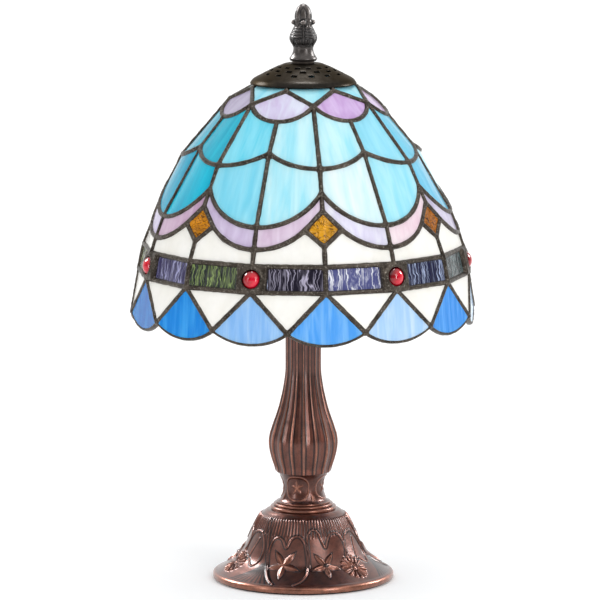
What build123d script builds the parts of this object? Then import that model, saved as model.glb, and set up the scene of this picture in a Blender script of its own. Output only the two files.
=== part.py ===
from build123d import *
import os
from math import copysign, cos, radians, sin, sqrt

os.makedirs("parts", exist_ok=True)

# Stained-glass table lamp on a cast metal base.
# Millimetres, +Z up, origin on the ground under the lamp's axis, -Y is the front.

# ---------------------------------------------------------------- shade
SECTORS = 7
HALF_ANGLE = 180 / SECTORS      # from a diamond line (turn 0) to a jewel line (turn 1)
SHADE_TURN = 7.64               # the front diamond's line, in degrees to the right of the front
FRONT_ANGLE = -90 + SHADE_TURN

# Corners of the glass pattern as (radius, height), from the throat down to the rim.
THROAT = (26.0, 290.2)
CAP_EDGE = (31.2, 286.2)        # V pieces meet here, on the jewel lines
V_FOOT = (42.4, 278.9)          # on the diamond lines
LENS_FOOT = (48.5, 270.5)       # on the jewel lines
SEAM_CUSP = (61.9, 254.2)       # upper and lower blue meet, on the jewel lines
SEAM_FOOT = (69.8, 246.5)       # upper and lower blue meet, on the diamond lines
SCALLOP_CUSP = (75.8, 234.0)    # top of the scallop band, on the diamond lines
SCALLOP_FOOT = (84.9, 215.0)    # top of the scallop band, on the jewel lines
DIAMOND_TOP = (81.0, 224.2)
DIAMOND_FOOT = (88.2, 204.9)
WHITE_TOP = (89.4, 203.1)       # foot of the scallop band, on the jewel lines
BAND_TOP = (92.6, 194.2)
BAND_FOOT = (95.7, 179.8)
RIM_CUSP = (100.0, 157.7)       # midway between the lines
RIM_LOW = 150.8                 # height of the lowest point of each fan
DIAMOND_HALF_WIDTH = 10.6
DIAMOND_SIDE_HEIGHT = 214.0
DIAMOND_SIDE_RADIUS = 84.4      # distance of the side corners in front of the axis
JEWEL_RADIUS = 5.3
JEWEL_DOME = 3.4                # height of the dome over the girdle
DOME_CURVE = (JEWEL_RADIUS**2 + JEWEL_DOME**2) / (2 * JEWEL_DOME)
BEZEL_WIDTH = 1.4

LEAD = 2.6                      # width of the solder seams
GLASS_TOP = -0.8                # glass faces, measured from the seam's surface
GLASS_FOOT = -3.4
LATTICE_OUT = 0.6               # lattice faces, measured from the same surface
LATTICE_IN = -4.4
SHELL_CENTRE = 99.34            # the shade's outline is an ellipse about this height
SHELL_RADIUS = 105.24
SHELL_HEIGHT = 194.7
THROAT_FLAT = 22.5              # distance of the throat's flats from the axis
SKIRT_ROD = 1.25                # solder beads of the skirt, radius
RIM_ROD = 1.45
CUSP_BEAD = 1.8
SKIRT_START = 2.2               # beads of the skirt begin this far below the band's foot

RING_OUTER = THROAT_FLAT - 0.05
RING_INNER = 20.4
RING_LOW = 283.5
RING_TOP = 286.8
HUB_LOW = 284.8
HUB_TOP = 286.8
HUB_RADIUS = 8.0
SPIDER_ARMS = 3
SPIDER_ARM_WIDTH = 6.0

# ---------------------------------------------------------------- stud, cap and finial
STUD_RADIUS = 3.0
STUD_TOP = 311.0
HOLE_FIT = 0.06                 # running clearance on the stud
CAP_TOP = 298.7
CAP_RIM_RADIUS = 30.5
CAP_RIM_HEIGHT = 287.3
CAP_SHEET = 1.1
CAP_FLAT = 9.6                  # radius of the flat on top
SLOT_RINGS = ((14.6, 0.0), (18.4, 0.5), (22.2, 0.0))    # radius, stagger in slot pitches
SLOTS = 14                      # in each ring
SLOT_WIDTH = 3.2
SLOT_LENGTH = 1.6
WASHER_RADIUS = 6.3
WASHER_THICKNESS = 1.4
FINIAL_FOOT = CAP_TOP + WASHER_THICKNESS
FINIAL_TIP = 332.6
FINIAL_BORE_TOP = 313.0
FINIAL_KNOBS = 4
KNOB_HEIGHT = 322.0
KNOB_REACH = 5.4
KNOB_RADIUS = 1.5

# ---------------------------------------------------------------- harp and lamp pipe
PIPE_RADIUS = 4.85
PIPE_BORE = 3.5
PIPE_LOW = 24.0
PIPE_TOP = 158.0
PIPE_FIT = 0.05
SADDLE_LOW = 150.0
SADDLE_TOP = 151.5
SADDLE_REACH = 24.0             # from the axis to the harp's legs
SADDLE_WIDTH = 8.0
SADDLE_EYE = 9.0
SOCKET_BORE = 1.65
SOCKET_RADIUS = 2.8
SOCKET_TOP = 161.0
HARP_ROD = 1.6
HARP_FOOT = SADDLE_TOP
HARP_BELLY = 37.0
HARP_BELLY_HEIGHT = 215.0
HARP_SHOULDER = 21.0
HARP_SHOULDER_HEIGHT = 268.0
HARP_PLATE_RADIUS = 8.0
HARP_PLATE_LOW = 281.0
HARP_PLATE_TOP = 283.0
RIVET_RADIUS = 2.5
RIVET_HEAD = 1.6
STUD_CHAMFER = 0.8

# ---------------------------------------------------------------- lampholder (E14)
HOLDER_RADIUS = 13.5
HOLDER_LOW = SADDLE_TOP
HOLDER_JOINT = 165.0
HOLDER_TOP = 192.0
HOLDER_WALL = 1.5
CORE_LOW = 161.0
CORE_FLOOR = 165.5
CORE_WALL_RADIUS = 10.0
SCREW_SHELL_LOW = 172.0
SCREW_SHELL_TOP = 189.0
SCREW_SHELL_WALL = 0.5
SHELL_FIT = 0.08
CONTACT_STRIP = 0.6
TERMINAL_REACH = 8.2
TERMINAL_RADIUS = 2.0
TERMINAL_HEAD = 2.2

# ---------------------------------------------------------------- bulb (E14 cap, 45 mm ball)
BULB_CAP_RADIUS = 6.9
BULB_CAP_WALL = 0.4
BULB_TIP_LOW = 168.0
TIP_HEIGHT = 1.2
BULB_CAP_LOW = 171.5
BULB_CAP_TOP = 191.0
BULB_RADIUS = 22.5
BULB_CENTRE = 223.5
BULB_GLASS_WALL = 0.8
NECK_LOW = 185.0
SHOULDER_ANGLE = -50            # where the neck runs into the ball
STEM_RADIUS = 2.6
STEM_TOP = 213.0
FILAMENTS = 4
FILAMENT_RADIUS = 0.8
FILAMENT_REACH = 7.0
FILAMENT_TOP = 239.0

# ---------------------------------------------------------------- base
FELT_THICKNESS = 1.0
FELT_RADIUS = 50.0
FOOT_RIM = 52.2
FOOT_RIM_TOP = 3.4
FOOT_TOP = 40.6
FOOT_WALL = 3.0
COLUMN_TOP = SADDLE_LOW
COLUMN_LEDGE = 62.2
NECK_RADIUS = 10.2
NECK_STRAIGHT = 124.0           # the column is straight above this height
UNDER_WASHER_RADIUS = 16.0
UNDER_WASHER_THICKNESS = 1.5
LOCK_WASHER_RADIUS = 8.5
LOCK_WASHER_THICKNESS = 1.2
NUT_FLATS = 14.0
NUT_HEIGHT = 5.0
CORD_HOLE_HEIGHT = 16.0
CORD_HOLE_RADIUS = 4.6
CORD_BORE_RADIUS = 3.3
CORD_BUSH_INNER = 28.5
CORD_BUSH_LENGTH = 8.5


def save(part, name):
    part.label = name
    export_step(part, "parts/" + name + ".step")


def corner(ring, turn):
    """A corner of the first sector: turn 0 is the diamond line, turn 1 the jewel line."""
    radius, height = ring
    angle = radians(turn * HALF_ANGLE)
    return Vector(radius * cos(angle), radius * sin(angle), height)


def pane_plane(first, second, third):
    """The plane of three points, with its x level and its z out of the shade."""
    normal = (second - first).cross(third - first).normalized()
    if normal.dot(Vector(first.X, first.Y, 0)) < 0:
        normal = normal * -1
    level = Vector(0, 0, 1).cross(normal)
    return Plane(origin=first, x_dir=level, z_dir=normal)


def pane(plane, edges, top, foot, inset=LEAD / 2):
    """A plate whose outline is the edges drawn in the plane, less the seam's half width.

    An edge is (start, end) for a straight one. A third item makes it an arc that runs
    level at its start.
    """
    with BuildPart() as plate:
        with BuildSketch(plane.offset(top)):
            with BuildLine():
                for start, end, *level in edges:
                    near = plane.to_local_coords(start)
                    far = plane.to_local_coords(end)
                    if level:
                        heading = (copysign(1, far.X - near.X), 0)
                        TangentArc((near.X, near.Y), (far.X, far.Y), tangent=heading)
                    else:
                        Line((near.X, near.Y), (far.X, far.Y))
            make_face()
            offset(amount=-inset, kind=Kind.INTERSECTION, mode=Mode.REPLACE)
        extrude(amount=foot - top)
    return plate.part


def closed(points):
    """Straight edges round a closed outline."""
    return list(zip(points, points[1:] + points[:1]))


# Corners of the first sector. "left" ones are mirror images across the diamond line.
cap_edge = corner(CAP_EDGE, 1)
cap_edge_left = corner(CAP_EDGE, -1)
throat = corner(THROAT, 1)
throat_left = corner(THROAT, -1)
v_foot = corner(V_FOOT, 0)
v_foot_next = corner(V_FOOT, 2)
lens_foot = corner(LENS_FOOT, 1)
seam_cusp = corner(SEAM_CUSP, 1)
seam_foot = corner(SEAM_FOOT, 0)
scallop_cusp = corner(SCALLOP_CUSP, 0)
scallop_foot = corner(SCALLOP_FOOT, 1)
diamond_top = corner(DIAMOND_TOP, 0)
diamond_foot = corner(DIAMOND_FOOT, 0)
diamond_side = Vector(DIAMOND_SIDE_RADIUS, DIAMOND_HALF_WIDTH, DIAMOND_SIDE_HEIGHT)
diamond_left = Vector(DIAMOND_SIDE_RADIUS, -DIAMOND_HALF_WIDTH, DIAMOND_SIDE_HEIGHT)
white_top = corner(WHITE_TOP, 1)
band_top = corner(BAND_TOP, 0)
band_top_far = corner(BAND_TOP, 1)
band_foot = corner(BAND_FOOT, 0)
band_foot_far = corner(BAND_FOOT, 1)
rim_cusp = corner(RIM_CUSP, 0.5)
rim_cusp_left = corner(RIM_CUSP, -0.5)
rim_cusp_next = corner(RIM_CUSP, 1.5)


def fan_low(apex, cusp):
    """The lowest point of a fan, in its plane, under its apex."""
    cusp_reach = sqrt(cusp.X**2 + cusp.Y**2) * cos(radians(HALF_ANGLE / 2))
    apex_reach = sqrt(apex.X**2 + apex.Y**2)
    slope = (cusp_reach - apex_reach) / (apex.Z - cusp.Z)
    reach = apex_reach + slope * (apex.Z - RIM_LOW)
    return Vector(apex.X * reach / apex_reach, apex.Y * reach / apex_reach, RIM_LOW)


fan_foot = fan_low(band_foot, rim_cusp)
fan_foot_far = fan_low(band_foot_far, rim_cusp)

# Each row of glass: name, plane, outline, and whether the sector holds its mirror image too.
ROWS = [
    ("glass_top_v", pane_plane(v_foot, cap_edge, cap_edge_left),
     closed([v_foot, cap_edge, throat, throat_left, cap_edge_left]), False),
    ("glass_lens", pane_plane(cap_edge, lens_foot, lens_foot + v_foot_next - v_foot),
     [(v_foot, cap_edge), (cap_edge, v_foot_next), (lens_foot, v_foot_next, 1),
      (lens_foot, v_foot, 1)], False),
    ("glass_upper_blue", pane_plane(seam_foot, seam_cusp, (v_foot + lens_foot) / 2),
     [(lens_foot, v_foot, 1), (v_foot, seam_foot), (seam_foot, seam_cusp, 1), (seam_cusp, lens_foot)], True),
    ("glass_lower_blue", pane_plane((seam_foot + seam_cusp) / 2, scallop_cusp, scallop_foot),
     [(seam_foot, seam_cusp, 1), (seam_foot, scallop_cusp), (scallop_foot, scallop_cusp, 1),
      (scallop_foot, seam_cusp)], True),
    ("glass_scallop", pane_plane(scallop_cusp, scallop_foot, (diamond_side + white_top) / 2),
     [(scallop_foot, scallop_cusp, 1), (scallop_cusp, diamond_top), (diamond_top, diamond_side),
      (white_top, diamond_side, 1), (white_top, scallop_foot)], True),
    ("glass_diamond", pane_plane(diamond_top, diamond_foot, diamond_foot + Vector(0, 1, 0)),
     closed([diamond_top, diamond_side, diamond_foot, diamond_left]), False),
    ("glass_white", pane_plane(white_top, band_top, band_top_far),
     [(white_top, diamond_side, 1), (diamond_side, diamond_foot), (diamond_foot, band_top),
      (band_top, band_top_far), (band_top_far, white_top)], True),
    ("glass_band", pane_plane(band_foot, band_top, band_top_far),
     closed([band_foot, band_foot_far, band_top_far, band_top]), True),
    ("glass_skirt_triangle", pane_plane(rim_cusp, band_foot, band_foot_far),
     closed([rim_cusp, band_foot_far, band_foot]), True),
    ("glass_fan_blue", pane_plane(band_foot, rim_cusp, rim_cusp_left),
     [(band_foot, rim_cusp), (fan_foot, rim_cusp, 1), (fan_foot, rim_cusp_left, 1),
      (rim_cusp_left, band_foot)], False),
    ("glass_fan_pale", pane_plane(band_foot_far, rim_cusp, rim_cusp_next),
     [(band_foot_far, rim_cusp), (fan_foot_far, rim_cusp, 1), (fan_foot_far, rim_cusp_next, 1),
      (rim_cusp_next, band_foot_far)], False),
]
SKIRT_ROWS = ("glass_skirt_triangle", "glass_fan_blue", "glass_fan_pale")

# The jewels stand in the band, on the jewel lines.
jewel_centre = (band_top_far + band_foot_far) / 2
jewel_plane = pane_plane(jewel_centre, band_top_far, jewel_centre + Vector(0, 0, 1).cross(band_top_far))
BEZEL_RADIUS = JEWEL_RADIUS + BEZEL_WIDTH

with BuildPart() as jewel_room:
    with BuildSketch(jewel_plane.offset(-10)):
        Circle(BEZEL_RADIUS)
    extrude(amount=20)

# ---------------------------------------------------------------- solder beads of the skirt and rim
def rod(start, end, radius):
    """A round rod between two points."""
    run = end - start
    with BuildPart() as bar:
        with BuildSketch(Plane(origin=start, z_dir=run)):
            Circle(radius)
        extrude(amount=run.length)
    return bar.part


def fan_edge(plane, low, cusp, depth, radius):
    """The round bead along a fan's lower edge, from its lowest point, where it is level, to a cusp."""
    start = low + plane.z_dir * depth
    end = cusp + plane.z_dir * depth
    along = plane.x_dir * copysign(1, (end - start).dot(plane.x_dir))
    with BuildPart() as bead:
        with BuildLine() as edge:
            TangentArc(start, end, tangent=along)
        with BuildSketch(Plane(origin=start, z_dir=along)):
            Circle(radius)
        sweep()
    return bead.part


PLANES = {name: plane for name, plane, edges, mirrored in ROWS}
BEAD_LIFT = 0.4                 # the beads lie a little outside the middle of the glass
sunk = (GLASS_TOP + GLASS_FOOT) / 2 + BEAD_LIFT


def sink(point):
    """A point of the skirt's surface, moved in to the middle of the beads."""
    reach = sqrt(point.X**2 + point.Y**2)
    return Vector(point.X * (reach + sunk) / reach, point.Y * (reach + sunk) / reach, point.Z)


with BuildPart() as first_skirt:
    for top in (band_foot, band_foot_far):
        add(rod(sink(top) - Vector(0, 0, SKIRT_START), sink(rim_cusp), SKIRT_ROD))
    for name, low in (("glass_fan_blue", fan_foot), ("glass_fan_pale", fan_foot_far)):
        add(fan_edge(PLANES[name], low, rim_cusp, sunk, RIM_ROD))
    with Locations(sink(rim_cusp)):
        Sphere(CUSP_BEAD)
with BuildPart() as skirt_ring:
    with PolarLocations(0, SECTORS):
        add(first_skirt.part)
        add(mirror(first_skirt.part, about=Plane.XZ, mode=Mode.PRIVATE))
with BuildPart() as skirt_beads:
    add(skirt_ring.part.rotate(Axis.Z, FRONT_ANGLE))
save(skirt_beads.part, "skirt_beads")

# ---------------------------------------------------------------- glass pieces
for name, plane, edges, mirrored in ROWS:
    piece = pane(plane, edges, GLASS_TOP, GLASS_FOOT)
    with BuildPart() as first_sector:
        add(piece)
        if name == "glass_band":
            add(jewel_room.part, mode=Mode.SUBTRACT)
        if name in SKIRT_ROWS:
            add(skirt_ring.part, mode=Mode.SUBTRACT)
        if mirrored:
            mirror(about=Plane.XZ)
    with BuildPart() as glass_row:
        with PolarLocations(0, SECTORS, start_angle=FRONT_ANGLE):
            add(first_sector.part)
    save(glass_row.part, name)

with BuildPart() as upright_jewel:
    with BuildSketch(Plane.XZ):
        with BuildLine():
            dome = RadiusArc((JEWEL_RADIUS, GLASS_TOP), (0, GLASS_TOP + JEWEL_DOME), -DOME_CURVE)
            Polyline(dome @ 1, (0, GLASS_FOOT), (JEWEL_RADIUS, GLASS_FOOT), dome @ 0)
        make_face()
    revolve(axis=Axis.Z)
with BuildPart() as glass_jewel:
    with PolarLocations(0, SECTORS, start_angle=FRONT_ANGLE):
        add(upright_jewel.part.moved(jewel_plane.location))
save(glass_jewel.part, "glass_jewel")

# ---------------------------------------------------------------- solder lattice over the glass rows
GORE_WIDTH = 60.0
WINDOW_DEPTH = 12.0
gore_out = Vector(cos(radians(HALF_ANGLE / 2)), sin(radians(HALF_ANGLE / 2)), 0)
gore_plane = Plane(origin=(0, 0, 0), x_dir=gore_out, z_dir=gore_out.cross(Vector(0, 0, 1)))
flat_radius = SHELL_RADIUS * cos(radians(HALF_ANGLE / 2))
gore_foot = BAND_FOOT[1] - LEAD / 2
gore_top = THROAT[1] + 1

with BuildPart() as gore:
    with BuildSketch(gore_plane):
        with Locations((0, SHELL_CENTRE)):
            Ellipse(flat_radius + LATTICE_OUT, SHELL_HEIGHT + LATTICE_OUT)
            Ellipse(flat_radius + LATTICE_IN, SHELL_HEIGHT + LATTICE_IN, mode=Mode.SUBTRACT)
        with Locations((THROAT_FLAT, gore_foot)):
            Rectangle(SHELL_RADIUS, gore_top - gore_foot, align=Align.MIN, mode=Mode.INTERSECT)
    extrude(amount=GORE_WIDTH / 2, both=True)
    with BuildSketch(Plane.XY.offset(gore_foot)):
        reach = 2 * SHELL_RADIUS
        Polygon((0, 0), (reach, 0), (reach * cos(radians(HALF_ANGLE)), reach * sin(radians(HALF_ANGLE))),
                align=None)
    extrude(amount=gore_top - gore_foot, mode=Mode.INTERSECT)
    for name, plane, edges, mirrored in ROWS:
        if name not in SKIRT_ROWS:
            add(pane(plane, edges, WINDOW_DEPTH, -WINDOW_DEPTH), mode=Mode.SUBTRACT)
    with BuildSketch(jewel_plane.offset(-WINDOW_DEPTH)):
        Circle(BEZEL_RADIUS)
    extrude(amount=2 * WINDOW_DEPTH, mode=Mode.SUBTRACT)

with BuildPart() as solder_lattice:
    with PolarLocations(0, SECTORS, start_angle=FRONT_ANGLE):
        add(gore.part)
        add(mirror(gore.part, about=Plane.XZ, mode=Mode.PRIVATE))
save(solder_lattice.part, "solder_lattice")

# Round bezels that hold the jewels in the lattice.
with BuildPart() as first_bezel:
    with BuildSketch(jewel_plane.offset(GLASS_FOOT)):
        Circle(BEZEL_RADIUS)
        Circle(JEWEL_RADIUS, mode=Mode.SUBTRACT)
    extrude(amount=LATTICE_OUT - GLASS_FOOT)
with BuildPart() as jewel_bezel:
    with PolarLocations(0, SECTORS, start_angle=FRONT_ANGLE):
        add(first_bezel.part)
save(jewel_bezel.part, "jewel_bezel")

# ---------------------------------------------------------------- aperture ring with its spider
with BuildPart() as shade_spider:
    with BuildSketch(Plane.XY.offset(RING_LOW)):
        Circle(RING_OUTER)
        Circle(RING_INNER, mode=Mode.SUBTRACT)
    extrude(amount=RING_TOP - RING_LOW)
    with BuildSketch(Plane.XY.offset(HUB_LOW)):
        Circle(HUB_RADIUS)
        with PolarLocations(RING_INNER / 2, SPIDER_ARMS, start_angle=90):
            Rectangle(RING_INNER + 1, SPIDER_ARM_WIDTH)
        Circle(STUD_RADIUS + HOLE_FIT, mode=Mode.SUBTRACT)
    extrude(amount=HUB_TOP - HUB_LOW)
save(shade_spider.part, "shade_spider")

# ---------------------------------------------------------------- pierced heat cap
with BuildPart() as heat_cap:
    with BuildSketch(Plane.XZ):
        with BuildLine():
            top_edge = Line((STUD_RADIUS + 2 * HOLE_FIT, CAP_TOP), (CAP_FLAT, CAP_TOP))
            dome = Spline((CAP_FLAT, CAP_TOP), (13.2, 297.5), (17.4, 295.7), (23.4, 292.6), (28.6, 289.8),
                          (CAP_RIM_RADIUS, CAP_RIM_HEIGHT))
            under = Spline((CAP_RIM_RADIUS - CAP_SHEET, CAP_RIM_HEIGHT), (27.9, 288.8), (22.9, 291.5),
                           (16.9, 294.6), (12.8, 296.4), (CAP_FLAT - 0.4, CAP_TOP - CAP_SHEET))
            Line(dome @ 1, under @ 0)
            Polyline(under @ 1, (STUD_RADIUS + 2 * HOLE_FIT, CAP_TOP - CAP_SHEET), top_edge @ 0)
        make_face()
    revolve(axis=Axis.Z)
    for ring_radius, stagger in SLOT_RINGS:
        with BuildSketch(Plane.XY.offset(CAP_RIM_HEIGHT + 2)):
            with PolarLocations(ring_radius, SLOTS, start_angle=stagger * 360 / SLOTS):
                Rectangle(SLOT_LENGTH, SLOT_WIDTH)
        extrude(amount=CAP_TOP - CAP_RIM_HEIGHT, mode=Mode.SUBTRACT)
save(heat_cap.part, "heat_cap")

with BuildPart() as finial_washer:
    with BuildSketch(Plane.XY.offset(CAP_TOP)):
        Circle(WASHER_RADIUS)
        Circle(STUD_RADIUS + 2 * HOLE_FIT, mode=Mode.SUBTRACT)
    extrude(amount=WASHER_THICKNESS)
save(finial_washer.part, "finial_washer")

# ---------------------------------------------------------------- finial
with BuildPart() as finial:
    with BuildSketch(Plane.XZ):
        with BuildLine():
            skin = Spline((7.9, FINIAL_FOOT + 1.2), (6.2, 304.8), (5.7, 307.4), (7.4, 310.6),
                          (7.8, 313.4), (5.9, 317.8), (4.9, 320.2), (5.2, 322.4), (4.5, 327.4),
                          (3.2, 330.6), (0, FINIAL_TIP), tangents=((-0.6, 1), (-1, 0)))
            Polyline(skin @ 0, (7.9, FINIAL_FOOT), (STUD_RADIUS + HOLE_FIT, FINIAL_FOOT),
                     (STUD_RADIUS + HOLE_FIT, FINIAL_BORE_TOP), (0, FINIAL_BORE_TOP), skin @ 1)
        make_face()
    revolve(axis=Axis.Z)
    with Locations((0, 0, KNOB_HEIGHT)):
        with PolarLocations(KNOB_REACH, FINIAL_KNOBS):
            Sphere(KNOB_RADIUS)
save(finial.part, "finial")

# ---------------------------------------------------------------- swivel stud, riveted in the harp's plate
with BuildPart() as swivel_stud:
    with BuildSketch(Plane.XZ):
        Polygon((0, HARP_PLATE_LOW - RIVET_HEAD), (4.0, HARP_PLATE_LOW - RIVET_HEAD), (4.0, HARP_PLATE_LOW),
                (RIVET_RADIUS, HARP_PLATE_LOW), (RIVET_RADIUS, HARP_PLATE_TOP), (6.0, HARP_PLATE_TOP),
                (6.0, HUB_LOW), (STUD_RADIUS, HUB_LOW), (STUD_RADIUS, STUD_TOP - STUD_CHAMFER),
                (STUD_RADIUS - STUD_CHAMFER, STUD_TOP), (0, STUD_TOP), align=None)
    revolve(axis=Axis.Z)
save(swivel_stud.part, "swivel_stud")

# ---------------------------------------------------------------- harp: a bent rod with a top plate
with BuildPart() as harp:
    with BuildLine(Plane.XZ) as harp_side:
        leg = Line((SADDLE_REACH, HARP_FOOT), (SADDLE_REACH, SOCKET_TOP + 1))
        Spline(leg @ 1, (HARP_BELLY, HARP_BELLY_HEIGHT), (HARP_SHOULDER, HARP_SHOULDER_HEIGHT),
               (HARP_PLATE_RADIUS - 1, HARP_PLATE_LOW + 0.2))
    with BuildSketch(Plane.XY.offset(HARP_FOOT)):
        with Locations((SADDLE_REACH, 0)):
            Circle(HARP_ROD)
    sweep()
    mirror(about=Plane.YZ)
    with BuildSketch(Plane.XY.offset(HARP_PLATE_LOW)):
        Circle(HARP_PLATE_RADIUS)
    extrude(amount=HARP_PLATE_TOP - HARP_PLATE_LOW)
    with BuildSketch(Plane.XY.offset(HARP_PLATE_LOW)):
        Circle(RIVET_RADIUS + HOLE_FIT)
    extrude(amount=HARP_PLATE_TOP - HARP_PLATE_LOW, mode=Mode.SUBTRACT)
save(harp.part, "harp")

with BuildPart() as harp_saddle:
    with BuildSketch(Plane.XY.offset(SADDLE_LOW)):
        SlotOverall(2 * SADDLE_REACH + SADDLE_WIDTH, SADDLE_WIDTH)
        Circle(SADDLE_EYE)
        Circle(PIPE_RADIUS + PIPE_FIT, mode=Mode.SUBTRACT)
    extrude(amount=SADDLE_TOP - SADDLE_LOW)
    with BuildSketch(Plane.XY.offset(SADDLE_TOP)):
        with Locations((-SADDLE_REACH, 0), (SADDLE_REACH, 0)):
            Circle(SOCKET_RADIUS)
            Circle(SOCKET_BORE, mode=Mode.SUBTRACT)
    extrude(amount=SOCKET_TOP - SADDLE_TOP)
save(harp_saddle.part, "harp_saddle")


# ---------------------------------------------------------------- turned pieces
def turned(points):
    """A solid turned about the lamp's axis from a closed outline of (radius, height) points."""
    with BuildPart() as piece:
        with BuildSketch(Plane.XZ):
            Polygon(*points, align=None)
        revolve(axis=Axis.Z)
    return piece.part


def tube(outer, inner, low, high):
    return turned([(inner, low), (outer, low), (outer, high), (inner, high)])


save(tube(PIPE_RADIUS, PIPE_BORE, PIPE_LOW, PIPE_TOP), "lamp_pipe")

pipe_hole = PIPE_RADIUS + PIPE_FIT
holder_bore = HOLDER_RADIUS - HOLDER_WALL
save(turned([(pipe_hole, HOLDER_LOW), (HOLDER_RADIUS - 3, HOLDER_LOW), (HOLDER_RADIUS, HOLDER_LOW + 3),
             (HOLDER_RADIUS, HOLDER_JOINT), (holder_bore, HOLDER_JOINT), (holder_bore, HOLDER_LOW + 3),
             (HOLDER_RADIUS - 3.6, HOLDER_LOW + HOLDER_WALL), (pipe_hole, HOLDER_LOW + HOLDER_WALL)]),
     "holder_cap")
save(turned([(holder_bore, HOLDER_JOINT), (HOLDER_RADIUS, HOLDER_JOINT), (HOLDER_RADIUS, HOLDER_TOP - 1),
             (HOLDER_RADIUS - 1, HOLDER_TOP), (holder_bore, HOLDER_TOP)]), "holder_body")

screw_bore = BULB_CAP_RADIUS + SHELL_FIT
screw_outer = screw_bore + SCREW_SHELL_WALL
save(turned([(0, CORE_LOW), (holder_bore, CORE_LOW), (holder_bore, CORE_FLOOR),
             (CORE_WALL_RADIUS, CORE_FLOOR), (CORE_WALL_RADIUS, SCREW_SHELL_TOP),
             (screw_outer, SCREW_SHELL_TOP), (screw_outer, CORE_FLOOR), (0, CORE_FLOOR)]), "holder_core")
save(tube(screw_outer, screw_bore, SCREW_SHELL_LOW, SCREW_SHELL_TOP), "screw_shell")

with BuildPart() as centre_contact:
    with BuildSketch(Plane.XZ):
        with BuildLine():
            Polyline((-4.5, CORE_FLOOR), (-4.5, CORE_FLOOR + CONTACT_STRIP), (0, BULB_TIP_LOW),
                     (1.6, BULB_TIP_LOW), (1.6, BULB_TIP_LOW - CONTACT_STRIP),
                     (0, BULB_TIP_LOW - CONTACT_STRIP), (-3.5, CORE_FLOOR), (-4.5, CORE_FLOOR))
        make_face()
    extrude(amount=1.8, both=True)
save(centre_contact.part, "centre_contact")

with BuildPart() as terminal_screws:
    with BuildSketch(Plane.XY.offset(CORE_LOW)):
        with Locations((0, -TERMINAL_REACH), (0, TERMINAL_REACH)):
            Circle(TERMINAL_RADIUS)
    extrude(amount=-TERMINAL_HEAD)
    with BuildSketch(Plane.XY.offset(CORE_LOW - TERMINAL_HEAD)):
        with Locations((0, -TERMINAL_REACH), (0, TERMINAL_REACH)):
            Rectangle(0.6, 2 * TERMINAL_RADIUS)
    extrude(amount=0.8, mode=Mode.SUBTRACT)
save(terminal_screws.part, "terminal_screws")

# ---------------------------------------------------------------- bulb
cap_bore = BULB_CAP_RADIUS - BULB_CAP_WALL
save(turned([(3.0, BULB_CAP_LOW), (5.4, BULB_CAP_LOW), (BULB_CAP_RADIUS, BULB_CAP_LOW + 1.5),
             (BULB_CAP_RADIUS, BULB_CAP_TOP), (cap_bore, BULB_CAP_TOP), (cap_bore, BULB_CAP_LOW + 1.7),
             (5.2, BULB_CAP_LOW + BULB_CAP_WALL), (3.0, BULB_CAP_LOW + BULB_CAP_WALL)]), "bulb_cap")
save(turned([(0, BULB_TIP_LOW + TIP_HEIGHT), (2.4, BULB_TIP_LOW + TIP_HEIGHT), (5.0, BULB_CAP_LOW),
             (0, BULB_CAP_LOW)]), "bulb_insulator")
save(turned([(0, BULB_TIP_LOW), (1.6, BULB_TIP_LOW), (2.3, BULB_TIP_LOW + TIP_HEIGHT),
             (0, BULB_TIP_LOW + TIP_HEIGHT)]), "bulb_tip")

with BuildPart() as bulb_glass:
    with BuildSketch(Plane.XZ):
        for wall, layer in ((0, Mode.ADD), (BULB_GLASS_WALL, Mode.SUBTRACT)):
            ball = BULB_RADIUS - wall
            neck = cap_bore - 0.1 - wall
            turn = radians(SHOULDER_ANGLE)
            shoulder = (ball * cos(turn), BULB_CENTRE + ball * sin(turn))
            with BuildLine():
                Line((0, NECK_LOW), (neck, NECK_LOW))
                Line((neck, NECK_LOW), (neck, BULB_CAP_TOP + 1))
                Spline((neck, BULB_CAP_TOP + 1), shoulder, tangents=((0, 1), (0.7, 0.7)))
                CenterArc((0, BULB_CENTRE), ball, SHOULDER_ANGLE, 90 - SHOULDER_ANGLE)
                Line((0, BULB_CENTRE + ball), (0, NECK_LOW))
            make_face(mode=layer)
    revolve(axis=Axis.Z)
save(bulb_glass.part, "bulb_glass")

flare = cap_bore - 0.1 - BULB_GLASS_WALL
save(turned([(0, NECK_LOW), (flare, NECK_LOW), (flare, NECK_LOW + 1), (STEM_RADIUS, NECK_LOW + 4),
             (STEM_RADIUS, STEM_TOP - 5), (1.2, STEM_TOP), (0, STEM_TOP)]), "bulb_stem")

with BuildPart() as first_filament:
    add(rod(Vector(1.7, 0, STEM_TOP), Vector(FILAMENT_REACH, 0, FILAMENT_TOP), FILAMENT_RADIUS))
with BuildPart() as bulb_filaments:
    with PolarLocations(0, FILAMENTS, start_angle=45):
        add(first_filament.part)
save(bulb_filaments.part, "bulb_filaments")

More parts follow.
